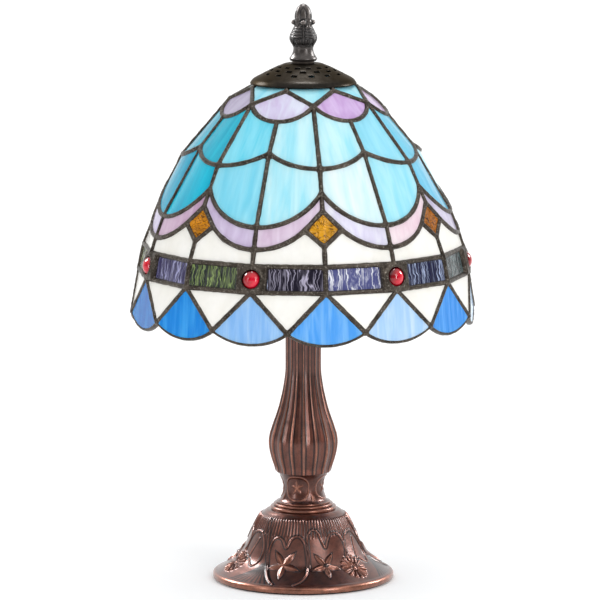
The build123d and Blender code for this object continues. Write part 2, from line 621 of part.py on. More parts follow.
# ---------------------------------------------------------------- base
with BuildPart() as column:
    with BuildSketch(Plane.XZ):
        with BuildLine():
            foot_ring = ThreePointArc((18.0, FOOT_TOP), (19.1, 41.7), (18.0, 42.8))
            Line(foot_ring @ 1, (16.4, 42.8))
            middle_ring = ThreePointArc((16.4, 42.8), (17.2, 43.6), (16.4, 44.4))
            Line(middle_ring @ 1, (15.0, 44.4))
            upper_ring = ThreePointArc((15.0, 44.4), (15.6, 45.0), (15.0, 45.6))
            neck = Spline(upper_ring @ 1, (12.8, 48.8), (12.0, 54.5), (13.5, 59.8), (14.8, COLUMN_LEDGE))
            ledge = Line(neck @ 1, (16.0, COLUMN_LEDGE + 0.5))
            bulb = Spline(ledge @ 1, (18.3, 70.3), (19.9, 80.0), (18.3, 87.9), (15.9, 94.9),
                          (12.9, 105.4), (11.4, 112.6), (10.6, 118.0), (NECK_RADIUS, NECK_STRAIGHT),
                          tangents=((0.4, 1), (0, 1)))
            Polyline(bulb @ 1, (NECK_RADIUS, COLUMN_TOP), (pipe_hole, COLUMN_TOP),
                     (pipe_hole, COLUMN_TOP - 5), (7.4, COLUMN_TOP - 8), (8.0, 112.0), (12.0, 95.0),
                     (16.4, 80.0), (13.4, 68.0), (9.4, 58.0), (9.2, 50.0), (10.4, 47.6),
                     (pipe_hole, 45.6), (pipe_hole, FOOT_TOP), foot_ring @ 0)
        make_face()
    revolve(axis=Axis.Z)
save(column.part, "column")

foot_ceiling = FOOT_TOP - 1.5 * FOOT_WALL
with BuildPart() as foot:
    with BuildSketch(Plane.XZ):
        with BuildLine():
            bell = Spline((20.6, FOOT_TOP), (25.0, 37.9), (28.6, 31.8), (33.2, 21.4), (37.6, 13.8),
                          (44.2, 8.8), (51.0, 4.6), (FOOT_RIM, FOOT_RIM_TOP))
            hollow = Spline((FOOT_RIM - FOOT_WALL, FELT_THICKNESS), (42.0, 6.4), (35.0, 11.6), (30.4, 19.4),
                            (25.8, 29.0), (20.6, foot_ceiling), tangents=((-0.3, 1), (-1, 0.2)))
            Polyline(bell @ 1, (FOOT_RIM, FELT_THICKNESS), hollow @ 0)
            Polyline(hollow @ 1, (pipe_hole, foot_ceiling), (pipe_hole, FOOT_TOP), bell @ 0)
        make_face()
    revolve(axis=Axis.Z)
    with BuildSketch(Plane(origin=(0, 0, CORD_HOLE_HEIGHT), x_dir=(1, 0, 0), z_dir=(0, 1, 0))):
        Circle(CORD_HOLE_RADIUS)
    extrude(amount=FOOT_RIM, mode=Mode.SUBTRACT)
save(foot.part, "foot")

with BuildPart() as cord_bush:
    with BuildSketch(Plane(origin=(0, CORD_BUSH_INNER, CORD_HOLE_HEIGHT), x_dir=(1, 0, 0), z_dir=(0, 1, 0))):
        Circle(CORD_HOLE_RADIUS)
        Circle(CORD_BORE_RADIUS, mode=Mode.SUBTRACT)
    extrude(amount=CORD_BUSH_LENGTH)
save(cord_bush.part, "cord_bush")

washer_low = foot_ceiling - UNDER_WASHER_THICKNESS
lock_low = washer_low - LOCK_WASHER_THICKNESS
save(tube(UNDER_WASHER_RADIUS, pipe_hole, washer_low, foot_ceiling), "under_washer")
save(tube(LOCK_WASHER_RADIUS, pipe_hole, lock_low, washer_low), "lock_washer")
with BuildPart() as hex_nut:
    with BuildSketch(Plane.XY.offset(lock_low)):
        RegularPolygon(NUT_FLATS / 2, 6, major_radius=False)
        Circle(pipe_hole, mode=Mode.SUBTRACT)
    extrude(amount=-NUT_HEIGHT)
save(hex_nut.part, "hex_nut")

with BuildPart() as felt_pad:
    with BuildSketch(Plane.XY):
        Circle(FELT_RADIUS)
    extrude(amount=FELT_THICKNESS)
save(felt_pad.part, "felt_pad")
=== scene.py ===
"""Stained-glass table lamp on a cast base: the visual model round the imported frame."""

import math
import random

import bmesh
import bpy
import numpy as np
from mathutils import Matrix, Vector, noise


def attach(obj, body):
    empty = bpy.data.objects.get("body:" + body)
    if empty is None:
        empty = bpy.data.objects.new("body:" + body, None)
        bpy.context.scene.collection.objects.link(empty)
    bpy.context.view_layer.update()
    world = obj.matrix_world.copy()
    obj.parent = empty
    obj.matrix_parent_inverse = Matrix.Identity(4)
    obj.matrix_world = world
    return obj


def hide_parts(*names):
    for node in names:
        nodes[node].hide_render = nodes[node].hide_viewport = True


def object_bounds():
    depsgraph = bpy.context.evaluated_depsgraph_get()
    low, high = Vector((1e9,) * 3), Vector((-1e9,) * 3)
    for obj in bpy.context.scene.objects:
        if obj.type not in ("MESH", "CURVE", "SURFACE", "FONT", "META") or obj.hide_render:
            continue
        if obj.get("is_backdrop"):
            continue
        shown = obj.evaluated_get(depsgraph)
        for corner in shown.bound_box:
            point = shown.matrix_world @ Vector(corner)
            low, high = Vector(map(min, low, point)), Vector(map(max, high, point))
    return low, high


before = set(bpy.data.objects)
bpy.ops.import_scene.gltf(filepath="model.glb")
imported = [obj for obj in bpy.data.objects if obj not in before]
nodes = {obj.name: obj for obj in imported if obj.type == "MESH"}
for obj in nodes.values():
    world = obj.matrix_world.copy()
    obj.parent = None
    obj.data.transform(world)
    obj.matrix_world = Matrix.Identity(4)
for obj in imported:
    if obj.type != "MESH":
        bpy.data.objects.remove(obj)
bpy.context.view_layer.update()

MM = 0.001                      # shapes are drawn in millimetres
SECTORS = 7
HALF_ANGLE = math.pi / SECTORS
FRONT_ANGLE = math.radians(-90 + 7.64)      # the front diamond's line


# ---------------------------------------------------------------- mesh helpers
def add_mesh(name, verts, faces, body, replaced=(), sharp=40.0):
    """A mesh object from points in millimetres, riding on a body."""
    mesh = bpy.data.meshes.new(name)
    mesh.from_pydata((np.asarray(verts) * MM).tolist(), [], faces)
    mesh.validate()
    mesh.update()
    mesh.shade_smooth()
    if sharp:
        mesh.set_sharp_from_angle(angle=math.radians(sharp))
    piece = bpy.data.objects.new(name, mesh)
    bpy.context.scene.collection.objects.link(piece)
    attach(piece, body)
    if replaced:
        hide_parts(*replaced)
    return piece


def point_attribute(piece, name, kind, values):
    """Stores one value per vertex for the materials to read."""
    layer = piece.data.attributes.new(name, kind, "POINT")
    field = {"FLOAT": "value", "FLOAT_VECTOR": "vector", "FLOAT_COLOR": "color"}[kind]
    layer.data.foreach_set(field, np.asarray(values, np.float32).ravel())


def linear(colour):
    """A linear colour from one given as 0 to 255 levels."""
    share = np.asarray(colour, float) / 255
    return np.where(share <= 0.04045, share / 12.92, ((share + 0.055) / 1.055) ** 2.4)


def wave_noise(points, seed):
    """Smooth noise from -1 to 1 at each point."""
    shift = Vector((seed * 13.7, seed * 5.1, seed * 9.3))
    return np.array([noise.noise(Vector(p) + shift) for p in points])


def sector_angle(sector):
    return FRONT_ANGLE + 2 * sector * HALF_ANGLE


def turn_about_axis(points, angle):
    c, s = math.cos(angle), math.sin(angle)
    points = np.asarray(points)
    return np.column_stack([points[:, 0] * c - points[:, 1] * s,
                            points[:, 0] * s + points[:, 1] * c, points[:, 2]])


def mirrored(points):
    return np.asarray(points) * (1, -1, 1)


def ring_faces(rows, columns, start=0, loop=False, inward=False):
    """Quads between rings of points, from vertex start on; a loop joins the last ring to the first."""
    faces = []
    for j in range(rows if loop else rows - 1):
        near, far = start + j * columns, start + (j + 1) % rows * columns
        for i in range(columns):
            k = (i + 1) % columns
            quad = (near + i, near + k, far + k, far + i)
            faces.append((quad[0], quad[3], quad[2], quad[1]) if inward else quad)
    return faces


def ring_caps(rows, columns, start=0):
    """The flat ends of a stack of rings."""
    last = start + (rows - 1) * columns
    return [tuple(range(start, start + columns))[::-1], tuple(range(last, last + columns))]


def full_turn(count):
    return np.linspace(0, 2 * math.pi, count, endpoint=False)


def ring_points(radii, height, angles):
    """A ring of points about the upright axis, from one radius or one for each angle."""
    heights = np.broadcast_to(height, angles.shape)
    return np.column_stack([radii * np.cos(angles), radii * np.sin(angles), heights])


def run_lengths(points):
    """The distance along a run of points up to each of them."""
    return np.concatenate([[0], np.cumsum(np.linalg.norm(np.diff(points, axis=0), axis=1))])


def resampled(points, place, wanted):
    """Points between the given ones, which lie at the given places."""
    return np.column_stack([np.interp(wanted, place, column) for column in np.asarray(points).T])


def unit(vector):
    return np.asarray(vector, float) / np.linalg.norm(vector)


# ---------------------------------------------------------------- seams of the shade
RINGS = {
    "throat": (26.0, 290.2), "cap_edge": (31.2, 286.2), "v_foot": (42.4, 278.9),
    "lens_foot": (48.5, 270.5), "seam_cusp": (61.9, 254.2), "seam_foot": (69.8, 246.5),
    "scallop_cusp": (75.8, 234.0), "scallop_foot": (84.9, 215.0), "diamond_top": (81.0, 224.2),
    "diamond_foot": (88.2, 204.9), "white_top": (89.4, 203.1), "band_top": (92.6, 194.2),
    "band_foot": (95.7, 179.8), "rim_cusp": (100.0, 157.7),
}
RIM_LOW = 150.8
GLASS_TOP = -0.8                # glass faces, measured from the seam's surface
GLASS_FOOT = -3.4


def corner(ring, turn):
    """A corner of the first sector: turn 0 is its diamond line, turn 1 its jewel line."""
    radius, height = RINGS[ring]
    angle = turn * HALF_ANGLE
    return np.array([radius * math.cos(angle), radius * math.sin(angle), height])


def line(start, end, count=2):
    return np.linspace(start, end, count)


def arc(low, cusp, count=25):
    """An arc from its lowest point, where it is level, up to a cusp."""
    out = np.array([low[0], low[1], 0.0]) / math.hypot(low[0], low[1])
    level = np.cross((0.0, 0.0, 1.0), out)
    run = cusp - low
    level = level * math.copysign(1, run @ level)
    across = run @ level
    rise = run - across * level
    height = np.linalg.norm(rise)
    radius = (across**2 + height**2) / (2 * height)
    sweep = np.linspace(0, 2 * math.atan2(height, across), count)
    return low + radius * (np.outer(np.sin(sweep), level) + np.outer(1 - np.cos(sweep), rise / height))


def fan_low(apex, cusp):
    """The lowest point of a fan, under its apex."""
    cusp_reach = math.hypot(cusp[0], cusp[1]) * math.cos(HALF_ANGLE / 2)
    apex_reach = math.hypot(apex[0], apex[1])
    reach = apex_reach + (cusp_reach - apex_reach) / (apex[2] - cusp[2]) * (apex[2] - RIM_LOW)
    return np.array([apex[0] * reach / apex_reach, apex[1] * reach / apex_reach, RIM_LOW])


def joined(*runs):
    """Runs of points end to end, without the repeated ones."""
    return np.concatenate([runs[0]] + [run[1:] for run in runs[1:]])


B = {ring: corner(ring, 0) for ring in RINGS}           # diamond line
A = {ring: corner(ring, 1) for ring in RINGS}           # jewel line
A_LEFT = {ring: corner(ring, -1) for ring in RINGS}
diamond_side = np.array([84.4, 10.6, 214.0])
v_next = corner("v_foot", 2)
cusp = corner("rim_cusp", 0.5)
cusp_next = corner("rim_cusp", 1.5)
fan_foot = fan_low(B["band_foot"], cusp)
fan_foot_far = fan_low(A["band_foot"], cusp)

HALF_SEAMS = {
    "crown": [
        line(B["v_foot"], A["cap_edge"]), line(A["cap_edge"], A["throat"]),
        arc(A["lens_foot"], B["v_foot"]),
    ],
    "middle": [
        line(A["lens_foot"], A["seam_cusp"]), line(B["v_foot"], B["seam_foot"]),
        arc(B["seam_foot"], A["seam_cusp"]), line(A["seam_cusp"], A["scallop_foot"]),
        line(B["seam_foot"], B["scallop_cusp"]), arc(A["scallop_foot"], B["scallop_cusp"]),
    ],
    "lower": [
        line(B["scallop_cusp"], B["diamond_top"]), line(B["diamond_top"], diamond_side),
        line(diamond_side, B["diamond_foot"]), arc(A["white_top"], diamond_side),
        line(A["scallop_foot"], A["white_top"]), line(B["diamond_foot"], B["band_top"]),
        line(A["white_top"], A["band_top"]),
    ],
    "band": [
        line(B["band_top"], A["band_top"]), line(B["band_foot"], A["band_foot"]),
        line(B["band_top"], B["band_foot"]),
    ],
    "skirt": [line(B["band_foot"], cusp), line(A["band_foot"], cusp)],
    "rim": [arc(fan_foot, cusp), arc(fan_foot_far, cusp)],
}

# ---------------------------------------------------------------- glass
WHITE = (254, 252, 246)


def pane_grid(upper, lower, across, down, inset):
    """Points of a pane ruled between two rails, clear of the seams' middles."""

    def along(rail, share):
        return resampled(rail, np.linspace(0, 1, len(rail)), share)

    count = max(len(upper), len(lower))
    even = np.linspace(0, 1, count)
    edge = inset / run_lengths((along(upper, even) + along(lower, even)) / 2)[-1]
    share = np.linspace(edge, 1 - edge, across)
    top = along(upper, share)
    foot = along(lower, share)
    width = np.maximum(np.linalg.norm(top - foot, axis=1), 3 * inset)
    leans = [(inset + step * (width - 2 * inset)) / width for step in np.linspace(0, 1, down)]
    return np.array([top + (foot - top) * lean[:, None] for lean in leans])


def pane_frame(grid):
    """The pane's level direction, its slope and its outward normal."""
    centre = grid.mean(axis=(0, 1))
    spread = grid.reshape(-1, 3) - centre
    normal = np.linalg.svd(spread, full_matrices=False)[2][2]
    if normal @ (centre * (1, 1, 0)) < 0:
        normal = -normal
    level = unit(np.cross((0, 0, 1), normal))
    return centre, level, np.cross(normal, level), normal


def pane_faces(across, down):
    """Faces of a pane's two layers and its edge, as a closed shell."""
    layer = across * down
    index = np.arange(layer).reshape(down, across)
    faces = []
    for a, b, c, d in zip(*(corners.ravel().tolist() for corners in
                            (index[:-1, :-1], index[:-1, 1:], index[1:, 1:], index[1:, :-1]))):
        faces += [(a, d, c, b), (a + layer, b + layer, c + layer, d + layer)]
    rim = np.concatenate([index[0], index[1:, -1], index[-1, -2::-1], index[-2:0:-1, 0]]).tolist()
    faces += [(a, b, b + layer, a + layer) for a, b in zip(rim, rim[1:] + rim[:1])]
    return faces


def bent(start, middle, end, count=13):
    return joined(line(start, middle, count), line(middle, end, count))


def rails():
    """Each row's first pane: its upper rail, its lower rail and whether it has a mirror image."""
    up_arc = arc(A["lens_foot"], B["v_foot"])
    lens_low = joined(up_arc[::-1], arc(A["lens_foot"], v_next))
    seam = arc(B["seam_foot"], A["seam_cusp"])
    scallop = arc(A["scallop_foot"], B["scallop_cusp"])[::-1]
    scallop_low, white_high = (
        joined(line(B[ring], diamond_side, count), arc(A["white_top"], diamond_side, 26 - count)[::-1])
        for ring, count in (("diamond_top", 8), ("diamond_foot", 9)))
    side = mirrored([diamond_side])[0]
    rim = arc(fan_foot, cusp, 21)
    rim_far = arc(fan_foot_far, cusp, 21)
    rim_next = arc(fan_foot_far, cusp_next, 21)
    band_top, band_foot = (line(B[ring], A[ring], 9) for ring in ("band_top", "band_foot"))
    return {
        "top_v": (line(A_LEFT["throat"], A["throat"], 25),
                  bent(A_LEFT["cap_edge"], B["v_foot"], A["cap_edge"]), False),
        "lens": (bent(B["v_foot"], A["cap_edge"], v_next, 25), lens_low, False),
        "upper_blue": (up_arc[::-1], seam, True),
        "lower_blue": (seam, scallop, True),
        "scallop": (scallop, scallop_low, True),
        "diamond": (bent(side, B["diamond_top"], diamond_side), bent(side, B["diamond_foot"], diamond_side),
                    False),
        "white": (white_high, line(B["band_top"], A["band_top"], 25), True),
        "band": (band_top, band_foot, True),
        "skirt_triangle": (line(B["band_foot"], A["band_foot"], 25), line(cusp, cusp, 25), True),
        "fan_blue": (line(B["band_foot"], B["band_foot"], 41), joined(mirrored(rim[::-1]), rim), False),
        "fan_pale": (line(A["band_foot"], A["band_foot"], 41), joined(rim_far[::-1], rim_next), False),
    }


# Each row's (glass, streak) colours: those of any pane, and of the (sector, side) of panes that face the
# viewer.
# The facing panes' colours are partly the glass's own and partly painted light and shade: mostly deeper
# towards the left and paler towards the middle. Side 0 is a pane without a mirror image.
DEEP_CYAN = ((6, 158, 190), (36, 186, 212))
MID_CYAN = ((104, 212, 236), (150, 228, 245))
PALE_CYAN = ((160, 229, 245), (202, 242, 250))
LILAC = ((204, 190, 224), (224, 220, 242))
PINK = ((236, 206, 220), (248, 232, 238))
MAUVE = ((198, 164, 194), (216, 190, 212))
PANE_COLOURS_AND_PAINTED_LIGHT = {
    "top_v": {"any": [((138, 219, 239), (180, 236, 247))]},
    "lens": {"any": [LILAC, ((196, 160, 214), (220, 200, 234))],
             (5, 0): ((164, 152, 184), (186, 178, 204)), (6, 0): ((206, 192, 226), (224, 228, 246)),
             (0, 0): ((192, 152, 210), (216, 192, 232))},
    "upper_blue": {"any": [PALE_CYAN, MID_CYAN], (5, 1): DEEP_CYAN,
                   (6, -1): ((10, 168, 198), (40, 194, 218)), (6, 1): MID_CYAN,
                   (0, -1): PALE_CYAN, (0, 1): PALE_CYAN,
                   (1, -1): ((130, 214, 238), (162, 228, 246)), (1, 1): ((84, 190, 222), (116, 206, 234))},
    "lower_blue": {"any": [PALE_CYAN, MID_CYAN], (5, 1): ((0, 154, 190), (22, 178, 210)),
                   (6, -1): ((0, 172, 206), (20, 194, 222)), (6, 1): ((120, 212, 236), (152, 225, 243)),
                   (0, -1): PALE_CYAN, (0, 1): ((204, 241, 250), (232, 248, 252)),
                   (1, -1): ((142, 222, 244), (178, 236, 250)), (1, 1): ((86, 188, 226), (122, 206, 236))},
    "scallop": {"any": [LILAC, PINK, MAUVE], (6, -1): MAUVE, (6, 1): ((198, 180, 212), (216, 204, 230)),
                (0, -1): ((212, 188, 212), (230, 214, 232)), (0, 1): ((214, 208, 236), (236, 236, 248)),
                (1, -1): PINK, (1, 1): ((194, 186, 214), (214, 208, 230))},
    "diamond": {"any": [((228, 162, 36), (74, 38, 4))], (6, 0): ((208, 134, 18), (62, 30, 3)),
                (1, 0): ((182, 106, 16), (26, 12, 3))},
    "white": {"any": [(WHITE, (248, 245, 237))]},
    "band": {"any": [((30, 28, 48), (190, 190, 215)), ((22, 28, 60), (150, 165, 205)),
                     ((38, 46, 34), (168, 182, 96))],
             (6, -1): ((46, 40, 84), (172, 172, 216)), (6, 1): ((30, 38, 34), (138, 160, 92)),
             (0, -1): ((26, 22, 38), (190, 184, 208)), (0, 1): ((78, 82, 134), (244, 246, 253)),
             (1, -1): ((14, 18, 56), (176, 190, 224)), (1, 1): ((30, 40, 44), (128, 146, 146))},
    "skirt_triangle": {"any": [(WHITE, (249, 246, 238))]},
    "fan_blue": {"any": [((66, 156, 240), (112, 184, 248))],
                 (5, 0): ((0, 108, 196), (34, 140, 216)), (6, 0): ((4, 134, 224), (56, 164, 238)),
                 (0, 0): ((84, 164, 242), (132, 194, 250)), (1, 0): ((40, 138, 228), (86, 168, 242))},
    "fan_pale": {"any": [((164, 206, 250), (196, 224, 252))],
                 (5, 0): ((0, 106, 190), (36, 138, 212)), (6, 0): ((136, 188, 242), (168, 208, 248)),
                 (0, 0): ((172, 210, 250), (204, 228, 252))},
}
# Each row's slot, then its mesh steps across and down the pane where they aren't the plain ones.
ROWS = {"top_v": ("turquoise_glass", 25, 12), "lens": ("lilac_glass", 40, 14), "upper_blue": ("blue_glass",),
        "lower_blue": ("blue_glass",), "scallop": ("pink_glass", 40, 10), "diamond": ("amber_glass", 44, 34),
        "white": ("white_glass",), "band": ("dark_glass", 90, 30), "skirt_triangle": ("white_glass",),
        "fan_blue": ("fan_blue_glass", 41, 18), "fan_pale": ("fan_pale_glass", 41, 18)}
PLAIN_STEPS = (26, 18)
# Ripple of each kind of glass: height, then its period along and down the pane.
RIPPLES = {"band": (0.42, 1.7, 6.0), "diamond": (0.34, 2.2, 2.2)}
PLAIN_RIPPLE = (0.07, 9.0, 16.0)
RIDGES = {"band": 2, "diamond": 3}          # how sharply these two are folded
INSET = 0.6
JEWEL_HALF_GAP = 8.6            # from the jewel line to the end of the band's glass


def make_row(name, upper, lower, has_mirror, seed):
    """All the panes of one row as one object, with the attributes that drive their glass."""
    slot, *steps = ROWS[name]
    across, down = steps or PLAIN_STEPS
    height, along_period, down_period = RIPPLES.get(name, PLAIN_RIPPLE)
    if name == "band":
        gap = JEWEL_HALF_GAP / np.linalg.norm(upper[-1] - upper[0])
        upper, lower = (rail + (rail[0] - rail) * gap for rail in (upper, lower))
    first = pane_grid(upper, lower, across, down, INSET)
    picker = random.Random(seed)
    faces_of_pane = pane_faces(across, down)
    verts, faces, grain, tint, streak = [], [], [], [], []
    for sector in range(SECTORS):
        for side in ((-1, 1) if has_mirror else (0,)):
            grid = mirrored(first) if side == -1 else first
            centre, level, slope, normal = pane_frame(grid)
            flat = grid.reshape(-1, 3)
            spread = flat - centre
            local = np.column_stack([spread @ level, spread @ slope, np.zeros(len(flat))])
            shift = np.array([picker.uniform(-90, 90) for _ in range(3)])
            place = local / (along_period, down_period, 1) + shift / 10
            if name == "band":
                place[:, 0] += 0.9 * wave_noise(local / (7, 5, 1) + shift, 3)
            ripple = wave_noise(place, 1)
            if name in RIDGES:
                ripple = 1 - RIDGES[name] * np.abs(ripple)
            top = flat + normal * (GLASS_TOP + height * (ripple - 1) / 2)[:, None]
            foot = flat + normal * GLASS_FOOT
            start = len(verts) * 2 * len(flat)
            shell = turn_about_axis(np.concatenate([top, foot]), sector_angle(sector))
            verts.append(shell)
            turn = 1 if side == -1 else -1
            faces += [tuple(v + start for v in face[::turn]) for face in faces_of_pane]
            # Facing panes take listed colours with painted light and shade in them; the rest take one of the
            # row's own colours at random.
            glass, streaks = PANE_COLOURS_AND_PAINTED_LIGHT[name].get((sector, side)) or picker.choice(PANE_COLOURS_AND_PAINTED_LIGHT[name]["any"])
            grain.append(np.tile(local + shift, (2, 1)))
            tint.append(np.tile([*linear(glass), 1], (2 * len(flat), 1)))
            streak.append(np.tile([*linear(streaks), 1], (2 * len(flat), 1)))
    piece = add_mesh("panes_" + name, np.concatenate(verts), faces, "shade", ("glass_" + name,), 50.0)
    point_attribute(piece, "grain", "FLOAT_VECTOR", np.concatenate(grain))
    point_attribute(piece, "tint", "FLOAT_COLOR", np.concatenate(tint))
    point_attribute(piece, "streak", "FLOAT_COLOR", np.concatenate(streak))
    return piece


panes = {name: make_row(name, *row, seed) for seed, (name, row) in enumerate(rails().items(), 1)}

# ---------------------------------------------------------------- jewels
JEWEL_RADIUS = 5.3
JEWEL_DOME = 3.4
JEWEL_SEGMENTS = 56
jewel_centre = (A["band_top"] + A["band_foot"]) / 2
jewel_up = unit(A["band_top"] - A["band_foot"])
jewel_level = unit(np.cross((0, 0, 1), jewel_centre * (1, 1, 0)))
jewel_out = np.cross(jewel_level, jewel_up)


def jewel_points(local):
    """Points given across, up and out of the first jewel's middle."""
    across, up, out = local.T
    return (jewel_centre + np.outer(across, jewel_level) + np.outer(up, jewel_up)
            + np.outer(out, jewel_out))


def make_jewels():
    curve = (JEWEL_RADIUS**2 + JEWEL_DOME**2) / (2 * JEWEL_DOME)
    edge = math.asin(JEWEL_RADIUS / curve)
    rings = [(JEWEL_RADIUS - 0.5, GLASS_FOOT), (JEWEL_RADIUS - 0.1, GLASS_FOOT + 0.4),
             (JEWEL_RADIUS - 0.1, GLASS_TOP - 0.2)]
    for lean in np.linspace(edge, 0.02, 14):
        rings.append((curve * math.sin(lean), GLASS_TOP + JEWEL_DOME - curve * (1 - math.cos(lean))))
    angles = full_turn(JEWEL_SEGMENTS)
    local = np.concatenate([ring_points(radius, height, angles) for radius, height in rings])
    local_faces = ring_faces(len(rings), JEWEL_SEGMENTS) + ring_caps(len(rings), JEWEL_SEGMENTS)
    verts, faces = [], []
    for sector in range(SECTORS):
        verts.append(turn_about_axis(jewel_points(local), sector_angle(sector)))
        faces += [tuple(v + sector * len(local) for v in face) for face in local_faces]
    piece = add_mesh("jewels", np.concatenate(verts), faces, "shade", ("glass_jewel",), 50.0)
    # The glow value is painted light and shade: brighter to the lower right, darker towards the upper left
    # and the edge.
    across, up = local[:, 0] / JEWEL_RADIUS, local[:, 1] / JEWEL_RADIUS
    glow = 0.62 + 0.34 * across - 0.26 * up - 0.34 * np.hypot(across, up) ** 4
    point_attribute(piece, "glow", "FLOAT", np.tile(np.clip(glow, 0, 1), SECTORS))
    return piece


jewels = make_jewels()

# ---------------------------------------------------------------- solder
# Half width, crest over the shade's surface and root under it.
SEAM_SECTION = (1.6, 0.6, -4.3)
SEAM_SECTIONS = {"skirt": (1.6, 0.15, -4.3), "rim": (1.0, -0.25, -3.9)}
VOXEL = 0.55
ROUND = 14                      # points round a seam or a blob
BLOB_RINGS = 7


# The upright ellipsoid nearest to the shade.
DOME_MIDDLE, DOME_HALF_HEIGHT, DOME_RADIUS = 99.34, 194.7, 105.24


def surface_normal(point):
    """Outward direction of the shade at a point."""
    reach = math.hypot(point[0], point[1])
    steep = (point[2] - DOME_MIDDLE) / DOME_HALF_HEIGHT**2 * DOME_RADIUS**2
    return np.array([point[0], point[1], steep]) / math.hypot(reach, steep)


def seam_tube(path, half_width, crest, root, start):
    """A bead of oval section along a path, closed at both ends."""
    place = run_lengths(path)
    count = max(4, int(place[-1] / 1.1))
    fine = resampled(path, place, np.linspace(0, place[-1], count))
    verts = []
    for k, point in enumerate(fine):
        ahead = unit(fine[min(k + 1, count - 1)] - fine[max(k - 1, 0)])
        side = unit(np.cross(ahead, surface_normal(point)))
        out = np.cross(side, ahead)
        wide = half_width * (1 + 0.16 * noise.noise(Vector(point) / 3.1))
        high = (crest - root) / 2 + 0.22 * noise.noise(Vector(point) / 2.3 + Vector((7, 3, 1)))
        middle = point + out * (root + crest) / 2
        verts += [middle + side * wide * math.cos(angle) + out * high * math.sin(angle)
                  for angle in full_turn(ROUND)]
    return verts, ring_faces(count, ROUND, start) + ring_caps(count, ROUND, start)


def blob(point, radius, lift, start):
    """A flattened lump of solder where seams meet."""
    out = surface_normal(point)
    side = unit(np.cross((0, 0, 1), out))
    up = np.cross(out, side)
    verts = []
    for lean in (np.arange(BLOB_RINGS) + 0.5) * math.pi / BLOB_RINGS:
        for turn in full_turn(ROUND):
            spot = (side * math.cos(turn) + up * math.sin(turn)) * radius * math.sin(lean)
            verts.append(point + out * lift + spot + out * 2.2 * math.cos(lean))
    caps = [cap[::-1] for cap in ring_caps(BLOB_RINGS, ROUND, start)]
    return verts, ring_faces(BLOB_RINGS, ROUND, start, inward=True) + caps


def remeshed(name, verts, faces, voxel):
    """The outline of overlapping shells as one skin, slightly smoothed."""
    mesh = bpy.data.meshes.new(name + "_raw")
    mesh.from_pydata((np.asarray(verts) * MM).tolist(), [], faces)
    mesh.validate()
    raw = bpy.data.objects.new(name + "_raw", mesh)
    bpy.context.scene.collection.objects.link(raw)
    skin = raw.modifiers.new("skin", "REMESH")
    skin.mode = "VOXEL"
    skin.voxel_size = voxel * MM
    soft = raw.modifiers.new("soft", "SMOOTH")
    soft.factor = 0.5
    soft.iterations = 3
    done = bpy.data.meshes.new_from_object(raw.evaluated_get(bpy.context.evaluated_depsgraph_get()))
    count = len(done.vertices)
    points = np.empty(count * 3, np.float32)
    done.vertices.foreach_get("co", points)
    polygons = [tuple(polygon.vertices) for polygon in done.polygons]
    bpy.data.objects.remove(raw)
    bpy.data.meshes.remove(mesh)
    bpy.data.meshes.remove(done)
    return points.reshape(-1, 3) / MM, polygons


def jewel_plate(start):
    """The solder plate round the first jewel, with its raised ring, as closed rings of points."""
    around = 72
    angles = full_turn(around)
    half_wide, half_high = JEWEL_HALF_GAP + 0.3, 7.6
    square = np.minimum(half_wide / np.maximum(np.abs(np.cos(angles)), 1e-6),
                        half_high / np.maximum(np.abs(np.sin(angles)), 1e-6))
    hole = np.full(around, JEWEL_RADIUS - 0.1)
    layers = [(hole, -3.9), (square - 0.6, -3.9), (square, -3.2), (square, -0.9), (square - 0.8, -0.1),
              (hole + 1.9, 0.05), (hole + 1.3, 0.75), (hole + 0.6, 1.0), (hole + 0.05, 0.5)]
    verts = np.concatenate([jewel_points(ring_points(reach, out, angles)) for reach, out in layers])
    return verts, ring_faces(len(layers), around, start, loop=True, inward=True)


def make_solder(part, replaced, voxel=VOXEL):
    """One zone of the solder, round the whole shade."""
    groups, blob_lift = (("skirt", "rim"), -2.0) if part == "skirt" else ((part,), -1.5)
    verts, faces = [], []

    def keep(shell, angle=0.0):
        verts.extend(turn_about_axis(shell[0], angle) if angle else shell[0])
        faces.extend(shell[1])

    for sector in range(SECTORS):
        spin = sector_angle(sector)
        for side in (1, -1):
            joints = []
            for group in groups:
                for path in HALF_SEAMS[group]:
                    placed = turn_about_axis(path * (1, side, 1), spin)
                    keep(seam_tube(placed, *SEAM_SECTIONS.get(group, SEAM_SECTION), len(verts)))
                    joints += [tuple(placed[0]), tuple(placed[-1])]
            for joint in sorted(set(tuple(round(v, 2) for v in joint) for joint in joints)):
                if joint[2] >= RIM_LOW + 1.2:
                    size = 1.7 + 0.35 * noise.noise(Vector(joint) / 5)
                    keep(blob(np.array(joint), size, blob_lift, len(verts)))
        if part == "band":
            keep(jewel_plate(len(verts)), spin)
    points, polygons = remeshed("solder_" + part, verts, faces, voxel)
    bumps = wave_noise(points / 1.5, 4) * 0.07 + wave_noise(points / 4.0, 5) * 0.05
    outward = points * (1, 1, 0)
    outward /= np.linalg.norm(outward, axis=1)[:, None]
    points = points + outward * (bumps - 0.06)[:, None]
    return add_mesh("solder_" + part, points, polygons, "shade", replaced, sharp=None)


solder = [
    make_solder("crown", ("solder_lattice",)),
    make_solder("middle", ("solder_lattice",), voxel=0.62),       # coarser: it is the largest
    make_solder("lower", ("solder_lattice",)),
    make_solder("band", ("solder_lattice", "jewel_bezel")),
    make_solder("skirt", ("skirt_beads",)),
]

